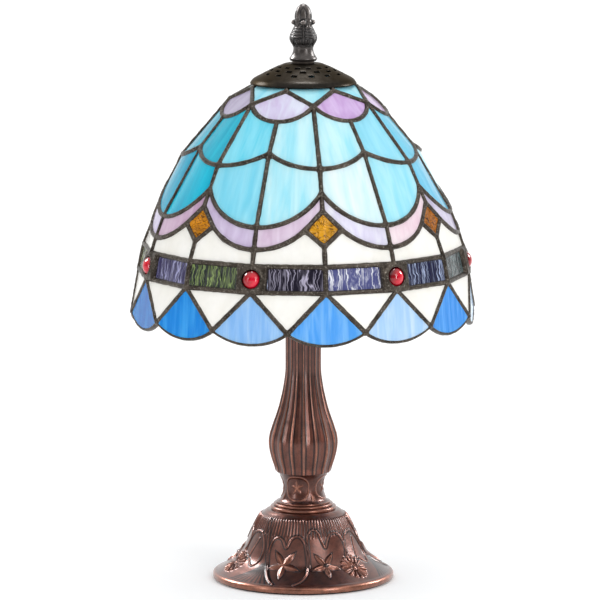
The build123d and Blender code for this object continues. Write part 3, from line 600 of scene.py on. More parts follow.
# ---------------------------------------------------------------- pierced heat cap
SLOTS_PER_RING = 14
SLOT_RINGS = ((14.6, 0.0), (18.4, 0.5), (22.2, 0.0))    # radius, stagger in slot pitches
SLOT_WIDTH = 3.2
SLOT_LENGTH = 1.6
CAP_COLUMNS = 24 * SLOTS_PER_RING
CAP_SHEET = 1.1
CAP_RADII = {3.2, 5.0, 7.0, 8.6, 9.6, 10.6, 11.6, 23.9, 25.0, 26.5, 28.0, 29.2, 30.0, 30.5}
ABOUT_SLOTS = (-1.9, -0.8, 0.0, 0.8)        # rings of points about each ring of slots
CAP_PROFILE = [(3.2, 298.7), (9.6, 298.7), (13.2, 297.5), (17.4, 295.7), (23.4, 292.6), (28.6, 289.8),
               (30.5, 287.3)]


def smooth_profile(points, count):
    """Points along a smooth curve through the given ones, with their distances along it."""
    points = np.asarray(points, float)
    padded = np.concatenate([[2 * points[0] - points[1]], points, [2 * points[-1] - points[-2]]])
    dense = []
    for k in range(len(points) - 1):
        a, b, c, d = padded[k:k + 4]
        for t in np.linspace(0, 1, 24, endpoint=False):
            dense.append(0.5 * (2 * b + (c - a) * t + (2 * a - 5 * b + 4 * c - d) * t**2
                                + (3 * b - a - 3 * c + d) * t**3))
    dense = np.array(dense + [points[-1]])
    place = run_lengths(dense)
    even = np.linspace(0, place[-1], count)
    return resampled(dense, place, even), even


def make_heat_cap():
    dense, _ = smooth_profile(CAP_PROFILE, 400)
    radii = sorted(CAP_RADII | {ring + shift for ring, _ in SLOT_RINGS for shift in ABOUT_SLOTS})
    heights = np.interp(radii, dense[:, 0], dense[:, 1])
    angles = full_turn(CAP_COLUMNS) + math.pi / CAP_COLUMNS
    verts = np.concatenate([ring_points(*ring, angles) for ring in zip(radii, heights)])
    pitch = CAP_COLUMNS // SLOTS_PER_RING

    def in_slot(j, i):
        middle = (radii[j] + radii[j + 1]) / 2
        for ring, stagger in SLOT_RINGS:
            half = round(SLOT_WIDTH / ring / (2 * math.pi) * CAP_COLUMNS / 2)
            offset = (i + 1 - int(stagger * pitch)) % pitch
            near = min(offset, pitch - offset)
            if abs(middle - ring) < SLOT_LENGTH / 2 and near <= half - (offset <= half):
                return True
        return False

    faces = [face for face in ring_faces(len(radii), CAP_COLUMNS, inward=True)
             if not in_slot(*divmod(face[0], CAP_COLUMNS))]
    piece = add_mesh("pierced_cap", verts, faces, "cap", ("heat_cap",), sharp=None)
    sheet = piece.modifiers.new("sheet", "SOLIDIFY")
    sheet.thickness = CAP_SHEET * MM
    sheet.offset = -1
    lip = piece.modifiers.new("lip", "BEVEL")
    lip.width = 0.22 * MM
    lip.segments = 2
    lip.limit_method = "ANGLE"
    lip.angle_limit = math.radians(50)
    return piece


heat_cap = make_heat_cap()


# ---------------------------------------------------------------- skins with a relief
def relief_skin(name, rings, body, replaced, sharp=55.0, hole=None):
    """A closed skin from rings of points (columns x 3), with a relief value on each point.

    The rings run round the piece's section and the last joins the first.
    """
    faces = ring_faces(len(rings), len(rings[0][0]), loop=True)
    verts, relief = (np.concatenate(column) for column in zip(*rings))
    piece = add_mesh(name, verts, faces, body, replaced, sharp=None)
    point_attribute(piece, "relief", "FLOAT", relief)
    work = bmesh.new()
    work.from_mesh(piece.data)
    if hole:
        height, radius = hole
        inside = [v for v in work.verts
                  if v.co.y > 0 and math.hypot(v.co.x, v.co.z - height * MM) < radius * MM]
        touched = {face for v in inside for face in v.link_faces}
        bmesh.ops.delete(work, geom=list(touched), context="FACES")
        edges = [e for e in work.edges if e.is_boundary]
        for v in {v for e in edges for v in e.verts}:
            off = Vector((v.co.x, 0, v.co.z - height * MM)).normalized() * radius * MM
            v.co.x, v.co.z = off.x, height * MM + off.z
        bmesh.ops.bridge_loops(work, edges=edges)
    bmesh.ops.recalc_face_normals(work, faces=work.faces)
    work.to_mesh(piece.data)
    work.free()
    piece.data.shade_smooth()
    piece.data.set_sharp_from_angle(angle=math.radians(sharp))
    return piece


def bump(distance, width):
    """A rounded ridge: 1 on the line, 0 beyond the width."""
    share = np.clip(np.abs(distance) / width, 0, 1)
    return (1 - share**2) ** 2


def step_between(value, low, high):
    """0 below low, 1 above high, and a smooth ramp between."""
    share = np.clip((value - low) / (high - low), 0, 1)
    return share * share * (3 - 2 * share)


def window(value, start, full, fade, end):
    """1 from full to fade, and a smooth ramp down to 0 at start and at end."""
    return step_between(value, start, full) * (1 - step_between(value, fade, end))


def off_angle(angles, centre, period=2 * math.pi):
    """Signed difference from a centre, in a pattern that repeats."""
    return (angles - centre + period / 2) % period - period / 2


# ---------------------------------------------------------------- finial
FINIAL_FOOT, FINIAL_TIP = 300.1, 332.6
BORE, BORE_TOP = 3.06, 313.0
# Four pointed leaves under ribs, a ring of gadroons, four knobs and a spire of panels.
LEAF_WINDOW = (307.6, 309.2, 318.6, 320.0)
LEAF_FOOT, LEAF_TALL = 308.0, 11.5
LEAF_EDGES = (1.9, 3.4, 4.9)
RIB_PITCH = 1.7
GADROON_WINDOW = (319.2, 320.0, 320.8, 321.6)
GADROONS = 16
KNOB_HEIGHT, KNOB_RADIUS, KNOB_REACH = 322.0, 1.5, 5.35
SPIRE_WINDOW = (324.0, 324.8, 330.4, 331.4)
FINIAL_PROFILE = [(7.8, 300.7), (8.0, 301.3), (7.6, 302.1), (6.7, 303.4), (6.0, 305.2), (5.7, 307.2),
                  (6.3, 309.0), (7.4, 310.9), (7.9, 312.6), (7.6, 314.8), (6.6, 317.0), (5.7, 318.8),
                  (4.9, 320.2), (5.1, 321.4), (5.2, 322.3), (4.9, 323.6), (4.9, 324.6), (4.8, 326.4),
                  (4.2, 328.6), (3.2, 330.6), (1.8, 332.0), (0.35, 332.55)]


def make_finial():
    columns = 192
    angles = full_turn(columns)
    quarter = off_angle(angles, 0, math.pi / 2)
    profile, _ = smooth_profile(FINIAL_PROFILE, 170)
    rings = []
    flat = np.zeros(columns)
    for radius, height in [(BORE, FINIAL_FOOT), (7.4, FINIAL_FOOT)]:
        rings.append((ring_points(radius, height, angles), flat))
    for radius, height in profile:
        leaf = window(height, *LEAF_WINDOW)
        across = quarter * radius
        rise = (height - LEAF_FOOT) / LEAF_TALL
        relief = 0.55 * bump(across, 0.75) * leaf
        for reach in LEAF_EDGES:
            edge = reach * np.sqrt(max(0.0, 1 - (2 * rise - 1) ** 2)) if 0 < rise < 1 else 0.0
            lobe = bump(np.abs(across) - edge, 0.8) * leaf * (1 - step_between(height, 312.0, 313.4))
            relief = np.maximum(relief, 0.55 * lobe)
        ribs = 0.5 + 0.5 * np.cos(2 * math.pi * (height + 0.15 * np.abs(across)) / RIB_PITCH)
        ribs = ribs * step_between(np.abs(across), 0.8, 1.3) * step_between(height, 312.4, 313.6) * leaf
        relief = np.maximum(relief, 0.5 * ribs)
        relief = relief - 0.55 * leaf
        spire = window(height, *SPIRE_WINDOW)
        between = off_angle(angles, math.pi / 4, math.pi / 2) * radius
        arch = 0.28 * radius * (1 - step_between(height, 328.6, 330.6))
        panel = 1 - step_between(np.abs(quarter * radius), arch * 1.1, arch * 1.1 + 0.5)
        relief = relief + spire * (0.35 * bump(between, 0.7) + 0.10 * panel)
        gadroon = window(height, *GADROON_WINDOW)
        relief = relief + 0.25 * gadroon * np.cos(GADROONS * angles)
        knob = np.sqrt(np.clip(KNOB_RADIUS**2 - across**2 - (height - KNOB_HEIGHT) ** 2, 0, None))
        shape = radius + relief * (1 if height < 331 else 0)
        reach = np.where(knob > 0, np.maximum(shape, KNOB_REACH + knob), shape)
        # Darker round each knob and beside each panel of the spire.
        round_knob = bump(np.hypot(across, height - KNOB_HEIGHT) - 2.0, 0.8)
        beside_panel = spire * bump(np.abs(quarter * radius) - arch * 1.1 - 0.25, 0.5)
        dark = 0.8 * np.maximum(round_knob, beside_panel)
        share = np.clip(0.5 + relief / 0.9 + (knob > 0) * 0.4 - dark, 0, 1)
        rings.append((ring_points(reach, height, angles), share))
    tip = rings[-1]
    rings.append((ring_points(0.02, FINIAL_TIP, angles), tip[1]))
    rings.append((ring_points(0.01, BORE_TOP, angles), flat))
    rings.append((ring_points(BORE, BORE_TOP, angles), flat))
    return relief_skin("spire_finial", rings, "finial", ("finial",))


finial = make_finial()

# ---------------------------------------------------------------- fluted column
FLUTES = 16
FLUTE_DEPTHS = [62.7, 66.0, 80.0, 100.0, 118.0, 150.0], [0.5, 1.35, 1.55, 1.3, 0.85, 0.8]    # by height
COLUMN_TURN = math.radians(-90 + 1)          # a ridge lies here
LOOP_TURN = math.radians(-90 - 18)           # the middle of one of the four loops
NECK_RADIUS = 12.6                           # turns an angle on the neck into millimetres across
LOOP_TOP, LOOP_MIDDLE, LOOP_FOOT = 60.9, 54.4, 47.4
LOOP_HALF_WIDTH, LOOP_ROUNDING = 7.4, 6.2
COLUMN_RINGS = [(18.0, 40.6), (18.8, 40.9), (19.1, 41.7), (18.8, 42.5), (18.0, 42.8), (16.5, 42.8),
                (17.0, 43.05), (17.2, 43.6), (17.0, 44.15), (16.4, 44.4), (15.1, 44.4), (15.45, 44.6),
                (15.6, 45.0), (15.45, 45.4)]
COLUMN_NECK = [(15.0, 45.6), (13.7, 46.9), (12.8, 48.8), (12.15, 51.4), (12.0, 54.5), (12.6, 57.4),
               (13.5, 59.8), (14.8, 62.2)]
COLUMN_BULB = [(16.0, 62.7), (16.9, 66.0), (18.3, 70.3), (19.5, 75.4), (19.9, 80.0), (19.4, 84.2),
               (18.3, 87.9), (17.1, 91.6), (15.9, 94.9), (14.2, 100.2), (12.9, 105.4), (12.05, 109.2),
               (11.4, 112.6), (10.6, 118.0), (10.3, 121.0), (10.2, 124.0)]
COLUMN_INSIDE = [(10.2, 149.6), (9.8, 150.0), (4.9, 150.0), (4.9, 145.0), (7.4, 142.0), (8.0, 112.0),
                 (12.0, 95.0), (16.4, 80.0), (13.4, 68.0), (9.4, 58.0), (9.2, 50.0), (10.4, 47.6),
                 (4.9, 45.6), (4.9, 40.6)]


def star_height(across, up, size, petals, turn, creased=False):
    """A raised flower of pointed petals about a middle, from 0 to 1, each with a spine or a crease."""
    reach = np.hypot(across, up)
    lean = off_angle(np.arctan2(up, across), turn, 2 * math.pi / petals)
    side = np.abs(np.sin(lean)) * reach
    share = np.clip(reach / size, 0, 1)
    half = size * 0.20 * np.sin(np.pi * share**0.8) ** 0.75 * (1 - share**6) + 0.02
    rise = np.clip(1 - side / half, 0, 1)
    petal = rise**0.8 if not creased else np.clip(1.9 * rise, 0, 1) - 0.55 * bump(side, 0.35 * half)
    return np.where(reach < size, np.clip(petal, 0, 1), 0) * (1 - share**8)


def make_column():
    columns = 336
    angles = full_turn(columns)
    flat = np.full(columns, 0.5)
    rings = [(ring_points(r, z, angles), np.full(columns, 0.62)) for r, z in COLUMN_RINGS]
    neck, _ = smooth_profile(COLUMN_NECK, 46)
    for radius, height in neck:
        across = off_angle(angles, LOOP_TURN, math.pi / 2) * NECK_RADIUS
        dx = np.maximum(np.abs(across) - (LOOP_HALF_WIDTH - LOOP_ROUNDING), 0)
        above, below = height - (LOOP_TOP - LOOP_ROUNDING), LOOP_FOOT + LOOP_ROUNDING - height
        dz = max(0.0, above if height > LOOP_MIDDLE else below)
        edge = np.hypot(dx, dz) - LOOP_ROUNDING
        edge = np.where((dx == 0) & (dz == 0), -LOOP_ROUNDING, edge)
        outline = bump(edge, 0.62)
        flower = star_height(across, height - 54.6, 4.6, 5, 0.35)
        drop = off_angle(angles, LOOP_TURN + math.pi / 4, math.pi / 2) * NECK_RADIUS
        pendant = bump(drop, 1.5) * bump(height - 48.4, 2.6)
        relief = np.maximum.reduce([0.75 * outline, 0.8 * flower, 0.8 * pendant])
        swell = 0.5 * np.clip(-edge / 3, 0, 1) ** 0.5 * 0.3
        rings.append((ring_points(radius - 0.45 + 0.55 * relief + swell - 0.15, height, angles),
                      np.clip(0.3 + 0.6 * relief, 0, 1)))
    bulb, _ = smooth_profile(COLUMN_BULB, 130)
    shaft = [(10.2, z) for z in np.linspace(124.8, 149.2, 34)]
    pitch = 2 * math.pi / FLUTES
    for radius, height in [*map(tuple, bulb), *shaft]:
        share = np.abs(off_angle(angles, COLUMN_TURN, pitch)) / (pitch / 2)
        depth = np.interp(height, *FLUTE_DEPTHS)
        ridge = bump(share, 0.24)
        valley = 0.45 + 0.55 * share ** 0.8
        sunk = depth * valley * (1 - ridge)
        # Colour share: lighter ridges of rubbed metal, painted shadow as a dark band along each side of a
        # ridge, and darker between the ridges towards the neck.
        shade = 0.42 + 0.45 * ridge - 0.40 * bump(share - 0.36, 0.22)
        shade = shade - 0.14 * step_between(height, 96.0, 118.0) * (1 - ridge)
        rings.append((ring_points(radius - sunk, height, angles), np.clip(shade, 0, 1)))
    rings += [(ring_points(r, z, angles), flat) for r, z in COLUMN_INSIDE]
    return relief_skin("fluted_column", rings, "base", ("column",))


column = make_column()

# ---------------------------------------------------------------- cast foot
FOOT_PROFILE = [(20.6, 40.6), (25.0, 37.9), (28.6, 31.8), (33.2, 21.4), (37.6, 13.8), (44.2, 8.8),
                (51.0, 4.6)]
FOOT_EDGE = [(51.8, 4.0), (52.2, 3.3), (52.2, 1.3), (51.9, 1.0)]
FOOT_HOLLOW = [(49.4, 1.0), (42.0, 6.4), (35.0, 11.6), (30.4, 19.4), (25.8, 29.0), (20.6, 36.1),
               (4.9, 36.1), (4.9, 40.6)]
FOOT_ROWS = 136
FOOT_COLUMNS = 600
FOOT_TURN = math.radians(-90)
THIRD = 2 * math.pi / 3
# Outlines of the cast ornament in one third: degrees round from the front, millimetres down the bell.
LEFT_ARCHES = [(-21, 47), (-27, 41), (-33, 32), (-36, 25), (-34.5, 18.5), (-29, 15.8), (-23, 17),
               (-18, 21.5), (-14, 17), (-9, 14.6), (-3, 15), (2, 19), (3.4, 25), (3.8, 32), (2.6, 38),
               (-1, 43), (-7, 47)]
RIGHT_ARCHES = [(5.5, 33), (5.2, 24.5), (4.2, 17.4), (6.2, 12.6), (11.5, 10.6), (17, 12.8), (20, 17.6),
                (23, 21.6), (26.5, 17.6), (31, 14.0), (39, 13.4), (45, 16.2), (47.5, 21.4), (45.5, 26.4),
                (43, 30)]
LEAF = [(62, 31), (50, 28.5), (47.5, 22), (51, 16.6), (58, 14.0), (66, 14.0), (72, 17.5), (76.5, 24),
        (76, 30), (70, 35), (62, 31)]
LEAF_VEIN = [(59, 30), (61, 24), (65, 18)]
FLOWERS = ((-18, 32.0, 10.6, False), (20, 32.5, 9.6, True))      # middle, size and creased petals
BALL = (20, 32.5, 1.5)          # middle and radius
DAISY = (47, 36)
SPRAY_ROOT = (-36, 27.0)        # nine grooves spread from here to the edge
REED_PITCH = 3.75               # degrees
REPEATS = (-120, 0, 120)        # degrees to the same ornament in this third and its neighbours
STALK = [(72, 5.5), (77, 12), (80, 20), (83, 27), (86, 33), (92, 41), (97, 46)]


def smooth_line(points, per_run=6):
    """The ornament's outline as short runs through its points."""
    curve, _ = smooth_profile(points, per_run * (len(points) - 1) + 1)
    return curve


def distance_to(curve, degrees, slope, scale):
    """Distance in millimetres of each point of the bell from a curve, at a scale in millimetres a degree."""
    nearest = np.full(degrees.shape, 1e9)
    for (d0, s0), (d1, s1) in zip(curve[:-1], curve[1:]):
        ax, ay = (degrees - d0) * scale, slope - s0
        bx, by = (d1 - d0) * scale, s1 - s0
        share = np.clip((ax * bx + ay * by) / (bx * bx + by * by + 1e-9), 0, 1)
        nearest = np.minimum(nearest, np.hypot(ax - share * bx, ay - share * by))
    return nearest


def foot_relief(degrees, slope, radius):
    """The cast ornament over one third of the bell: its height in millimetres and where it is darkened, by
    painted shadow beside its raised outlines and round its flowers, and darker in its reed valleys and
    grooves and on its balls.
    """
    scale = radius * math.pi / 180
    height = 0.42 * np.cos(2 * math.pi * degrees / REED_PITCH) * step_between(slope, 3.5, 5.5)
    height *= 1 - step_between(slope, 13.5, 17.0)
    dark = 0.6 * np.clip(-height / 0.4, 0, 1)
    for outline in (LEFT_ARCHES, RIGHT_ARCHES, LEAF, LEAF_VEIN, STALK):
        curve = smooth_line(outline)
        for shift in REPEATS:
            away = distance_to(curve + (shift, 0), degrees, slope, scale)
            height = np.maximum(height, 0.62 * bump(away, 0.75))
            # Painted shadow: a dark line along each side of a raised outline.
            dark = np.maximum(dark, 0.75 * bump(away - 0.95, 0.6))
    for middle, drop, size, creased in FLOWERS:
        for shift in REPEATS:
            across = (degrees - middle - shift) * scale
            flower = star_height(across, drop - slope, size, 5, -math.pi / 2, creased)
            height = np.maximum(height, 1.05 * flower)
            rim = star_height(across, drop - slope, size * 1.14, 5, -math.pi / 2)
            # Painted shadow: a dark ring round each flower.
            dark = np.maximum(dark, 0.8 * step_between(rim, 0.0, 0.25) * (flower < 0.12))
    for shift in REPEATS:
        middle, drop, size = BALL
        across = (degrees - middle - shift) * scale
        ball = np.sqrt(np.clip(size**2 - across**2 - (slope - drop) ** 2, 0, None))
        height = np.maximum(height, np.where(ball > 0, 0.6 + 0.8 * ball, -1))
        dark = np.where(ball > 0, 1.4, dark)
        middle, drop = DAISY
        across = (degrees - middle - shift) * scale
        reach = np.hypot(across, slope - drop)
        around = np.arctan2(slope - drop, across)
        rays = 0.9 * np.clip(0.55 + 0.6 * np.cos(15 * around), 0, 1)
        daisy = rays * window(reach, 1.6, 2.6, 7.8, 9.0)
        height = np.maximum(height, daisy)
        height = np.maximum(height, 0.9 * bump(reach, 2.2))
        for spread in np.linspace(-58, -26, 9):
            bend = SPRAY_ROOT[0] + (spread - SPRAY_ROOT[0]) * 0.35
            groove = np.array([SPRAY_ROOT, (bend, 37.0), (spread, 48.0)]) + (shift, 0)
            cut = bump(distance_to(smooth_line(groove), degrees, slope, scale), 0.8)
            cut = cut * window(slope, 30, 34, 46.5, 48.5)
            height = height - 0.8 * cut * (height < 0.3)
            dark = np.maximum(dark, cut)
    return height, dark


def make_foot():
    angles = full_turn(FOOT_COLUMNS) + FOOT_TURN - THIRD / 2
    third = FOOT_COLUMNS // 3
    degrees = np.degrees(angles[:third] - FOOT_TURN)
    bell, slopes = smooth_profile(FOOT_PROFILE, FOOT_ROWS)
    flat = np.full(FOOT_COLUMNS, 0.5)
    rings = []
    for (radius, height), slope in zip(bell, slopes):
        ahead = np.interp(slope + 0.5, slopes, bell[:, 0]) - np.interp(slope - 0.5, slopes, bell[:, 0])
        fall = np.interp(slope + 0.5, slopes, bell[:, 1]) - np.interp(slope - 0.5, slopes, bell[:, 1])
        out = np.array([-fall, ahead]) / math.hypot(ahead, fall)
        lift, dark = (np.tile(part, 3) for part in foot_relief(degrees, np.full(third, slope), radius))
        fade = window(slope, 0.5, 3.0, slopes[-1] - 2.0, slopes[-1])
        lift = (lift - 0.35) * fade
        rings.append((ring_points(radius + lift * out[0], height + lift * out[1], angles),
                      np.clip(0.46 + lift * 0.3 - 0.5 * dark, 0, 1)))
    rings += [(ring_points(r, z, angles), np.full(FOOT_COLUMNS, 0.8)) for r, z in FOOT_EDGE]
    hollow, _ = smooth_profile(FOOT_HOLLOW[:6], 16)
    rings += [(ring_points(r, z, angles), flat) for r, z in [*map(tuple, hollow), *FOOT_HOLLOW[6:]]]
    return relief_skin("cast_foot", rings, "base", ("foot",), hole=(16.0, 4.55))


foot = make_foot()


# ---------------------------------------------------------------- materials
def socket_name(key):
    return key.replace("_", " ").title().replace("Ior", "IOR")


class Finish:
    """A node material built up step by step round one Principled shader."""

    def __init__(self, name, **inputs):
        self.material = bpy.data.materials.new(name)
        self.material.use_nodes = True
        self.tree = self.material.node_tree
        self.shader = self.tree.nodes["Principled BSDF"]
        for key, value in inputs.items():
            self.shader.inputs[socket_name(key)].default_value = value

    def node(self, kind, links=(), **settings):
        made = self.tree.nodes.new("ShaderNode" + kind)
        for key, value in settings.items():
            if key in made.bl_rna.properties:
                setattr(made, key, value)
            else:
                made.inputs[key].default_value = value
        for socket, source in dict(links).items():
            self.tree.links.new(source, made.inputs[socket])
        return made

    def attribute(self, name, output="Color"):
        return self.node("Attribute", attribute_name=name).outputs[output]

    def place(self, scale, source=None):
        """Texture coordinates, stretched: from the object in millimetres unless a source is given."""
        if source is None:
            source = self.node("TexCoord").outputs["Object"]
            scale = np.multiply(scale, 1000)
        return self.node("Mapping", {"Vector": source}, Scale=scale).outputs["Vector"]

    def noise(self, where, detail=4.0, roughness=0.55, distortion=0.0, source=None):
        """Noise at given coordinates, or else with a given scale or stretch."""
        if not hasattr(where, "is_linked"):
            where = self.place(np.broadcast_to(where, 3), source)
        return self.node("TexNoise", {"Vector": where}, Scale=1.0, Detail=detail, Roughness=roughness,
                         Distortion=distortion).outputs["Fac"]

    def ramp(self, factor, *stops):
        made = self.node("ValToRGB", {"Fac": factor})
        bar = made.color_ramp.elements
        while len(bar) < len(stops):
            bar.new(0.5)
        for element, (place, colour) in zip(bar, stops):
            element.position = place
            element.color = (*np.broadcast_to(colour, 3), 1.0)
        return made.outputs["Color"]

    def mix(self, factor, first, second, mode="MIX"):
        made = self.node("Mix", data_type="RGBA", blend_type=mode)
        for socket, value in zip((made.inputs[0], made.inputs[6], made.inputs[7]), (factor, first, second)):
            if hasattr(value, "is_linked"):
                self.tree.links.new(value, socket)
            else:
                socket.default_value = value
        return made.outputs[2]

    def times(self, first, second):
        return self.mix(1.0, first, second, "MULTIPLY")

    def pane_colour(self, share):
        """The pane's own colour, going over to its streak colour."""
        return self.mix(share, self.attribute("tint"), self.attribute("streak"))

    def span(self, factor, low, high):
        return self.node("MapRange", {0: factor}, **{"To Min": low, "To Max": high}).outputs["Result"]

    def set(self, **sources):
        for key, source in sources.items():
            self.tree.links.new(source, self.shader.inputs[socket_name(key)])

    def bump(self, factor, strength, distance):
        made = self.node("Bump", {"Height": factor}, Strength=strength, Distance=distance * MM)
        self.set(normal=made.outputs["Normal"])


def opal_glass(name, stretch, soft=(0.34, 0.66), roughness=0.13):
    """Streaky opalescent sheet: the pane's own colour with paler streaks down it."""
    finish = Finish(name, roughness=roughness, ior=1.45, specular_ior_level=0.25, subsurface_weight=0.30,
                    subsurface_radius=(1.0, 1.0, 1.0), subsurface_scale=0.003)
    grain = finish.attribute("grain", "Vector")
    streaks = finish.noise((*stretch, 1.0), 3.0, 0.5, 0.4, grain)
    wisps = finish.noise((stretch[0] * 3.5, stretch[1] * 2.5, 1.0), 5.0, 0.6, 0.3, grain)
    colour = finish.pane_colour(finish.ramp(streaks, (soft[0], 0.0), (soft[1], 1.0)))
    finish.set(base_color=finish.times(colour, finish.ramp(wisps, (0.30, 0.955), (0.60, 1.0))))
    finish.bump(wisps, 0.04, 0.2)
    return finish.material


def band_glass():
    """Dark rippled sheet with wavy pale streaks running down it, partly its own streaks and partly painted
    reflection, and painted glints mixed into its colour.
    """
    finish = Finish("rippled_band_glass", roughness=0.12, ior=1.45)
    grain = finish.attribute("grain", "Vector")
    warp = finish.noise((0.05, 0.20, 1.0), 2.0, source=grain)
    sway = finish.node("CombineXYZ", {0: finish.span(warp, -0.9, 0.9)}).outputs["Vector"]
    still = finish.place((0.36, 0.035, 1.0), grain)
    swayed = finish.node("VectorMath", {0: still, 1: sway}, operation="ADD").outputs["Vector"]
    threads = finish.noise(swayed, 1.5, 0.45)
    fine = finish.noise((0.85, 0.07, 1.0), 2.0, 0.5, 0.4, grain)
    bands = finish.ramp(threads, (0.45, 0.0), (0.485, 0.08), (0.515, 1.0), (0.55, 0.10), (0.60, 0.0))
    # Painted glints: fine pale specks lightened into the pane's colour.
    painted_glints = finish.ramp(fine, (0.54, 0.0), (0.66, 0.40))
    finish.set(base_color=finish.pane_colour(finish.mix(1.0, bands, painted_glints, "LIGHTEN")))
    finish.bump(threads, 0.5, 0.8)
    return finish.material


def amber_glass():
    """Hammered amber sheet with dark folds."""
    finish = Finish("hammered_amber_glass", roughness=0.10, ior=1.45, specular_ior_level=0.25)
    grain = finish.attribute("grain", "Vector")
    folds = finish.noise((0.14, 0.20, 1.0), 1.5, 0.45, 1.6, grain)
    glow = finish.noise((0.09, 0.09, 1.0), 2.0, 0.5, 0.5, grain)
    lines = finish.ramp(folds, (0.42, 0.0), (0.46, 1.0), (0.50, 0.0), (0.57, 0.0), (0.60, 0.8), (0.63, 0.0))
    shade = finish.ramp(glow, (0.30, 0.72), (0.65, 1.12))
    finish.set(base_color=finish.times(finish.pane_colour(lines), shade))
    finish.bump(folds, 0.6, 0.8)
    return finish.material


def jewel_glass():
    """Ruby glass with painted light and shade from the glow value: deeper where it turns away and towards
    the upper left, brighter to the lower right.
    """
    finish = Finish("ruby_jewel_glass", roughness=0.03, ior=1.38, coat_weight=0.5, coat_roughness=0.02)
    glow = finish.attribute("glow", "Fac")
    body = finish.ramp(glow, (0.12, (0.05, 0.0, 0.002)), (0.45, (0.28, 0.0, 0.006)),
                       (0.75, (0.56, 0.001, 0.02)), (0.95, (0.74, 0.02, 0.05)))
    finish.set(base_color=finish.times(body, finish.ramp(finish.noise(0.3, 3.0), (0.3, 0.7), (0.7, 1.1))))
    return finish.material


def soldered():
    """Dark patina over solder, rubbed bright in specks."""
    finish = Finish("patina_solder", metallic=0.82)
    specks = finish.noise(0.95, 6.0, 0.65)
    dark = finish.ramp(finish.noise(0.16), (0.30, (0.030, 0.023, 0.018)), (0.72, (0.10, 0.082, 0.066)))
    bright = finish.ramp(specks, (0.54, 0.0), (0.68, 0.65))
    finish.set(base_color=finish.mix(bright, dark, (0.36, 0.33, 0.28, 1)),
               roughness=finish.span(specks, 0.26, 0.50))
    finish.bump(specks, 0.25, 0.25)
    return finish.material


def cast_bronze(name, low, middle, high, rough, **inputs):
    """Dark where the relief value is low, in hollows and in the painted shadow beside raised ornament and
    ridges; a mottled face, and bare metal rubbed through on the ridges.
    """
    finish = Finish(name, coat_roughness=0.22, **inputs)
    face = finish.ramp(finish.attribute("relief", "Fac"), (0.05, low), (0.42, middle), (0.95, high))
    mottle = finish.noise(0.22, 5.0, 0.6)
    grit = finish.noise(2.1, 4.0, 0.6)
    shaded = finish.times(face, finish.ramp(mottle, (0.30, 0.62), (0.70, 1.25)))
    finish.set(base_color=finish.times(shaded, finish.ramp(grit, (0.36, 0.72), (0.62, 1.12))),
               roughness=finish.span(mottle, rough - 0.09, rough + 0.12))
    finish.bump(grit, 0.22, 0.16)
    return finish.material


def grained(name, colour, rough, scale, dim, swing, strength, distance, **inputs):
    """One colour, dimmed and roughened by a grain."""
    finish = Finish(name, **inputs)
    grain = finish.noise(scale, 4.0, 0.6)
    finish.set(base_color=finish.ramp(grain, (0.3, np.multiply(colour, dim)), (0.7, colour)),
               roughness=finish.span(grain, rough - swing[0], rough + swing[1]))
    finish.bump(grain, strength, distance)
    return finish.material


def plain_metal(name, colour, rough, metallic=1.0):
    """Turned or drawn metal with fine tool marks."""
    return grained(name, colour, rough, (1.0, 1.0, 0.08), 0.72, (0.08, 0.10), 0.08, 0.05, metallic=metallic)


def moulded(name, colour, rough, scale=0.8, bump=0.1, dim=0.8, **inputs):
    """Anything dull and even: plastic, ceramic, felt and the floor."""
    return grained(name, colour, rough, scale, dim, (0.06, 0.08), bump, 0.1, **inputs)


def bulb_glass():
    finish = Finish("blown_clear_glass", roughness=0.02, ior=1.48, base_color=(0.97, 0.985, 0.99, 1),
                    transmission_weight=1.0)
    finish.bump(finish.noise(0.07, 2.0), 0.05, 0.3)
    return finish.material


def paint(material, *pieces):
    for piece in pieces:
        piece.data.materials.clear()
        piece.data.materials.append(material)


def paint_panes(material, *rows):
    paint(material, *(panes[row] for row in rows))


def paint_nodes(material, *names):
    paint(material, *(nodes[name] for name in names))


paint_panes(opal_glass("streaky_blue_glass", (0.16, 0.025)), "top_v", "upper_blue", "lower_blue")
paint_panes(opal_glass("streaky_lilac_glass", (0.16, 0.05)), "lens", "scallop")
paint_panes(opal_glass("creamy_white_glass", (0.05, 0.04), roughness=0.16), "white", "skirt_triangle")
paint_panes(opal_glass("streaky_fan_glass", (0.30, 0.03), (0.40, 0.68)), "fan_blue", "fan_pale")
paint_panes(amber_glass(), "diamond")
paint_panes(band_glass(), "band")
paint(jewel_glass(), jewels)
paint(soldered(), *solder)
paint(cast_bronze("dark_cap_bronze", (0.016, 0.014, 0.012), (0.050, 0.046, 0.042), (0.15, 0.13, 0.11),
                  0.38, metallic=1.0, coat_weight=0.08, specular_tint=(0.55, 0.50, 0.44, 1)), heat_cap)
paint(cast_bronze("dark_finial_bronze", (0.005, 0.004, 0.004), (0.034, 0.028, 0.026), (0.14, 0.12, 0.11),
                  0.34, metallic=0.75, coat_weight=0.4), finial)
paint(cast_bronze("reddish_base_bronze", (0.008, 0.002, 0.002), (0.126, 0.036, 0.021), (0.34, 0.130, 0.076),
                  0.31, metallic=0.85, coat_weight=0.65), column, foot)

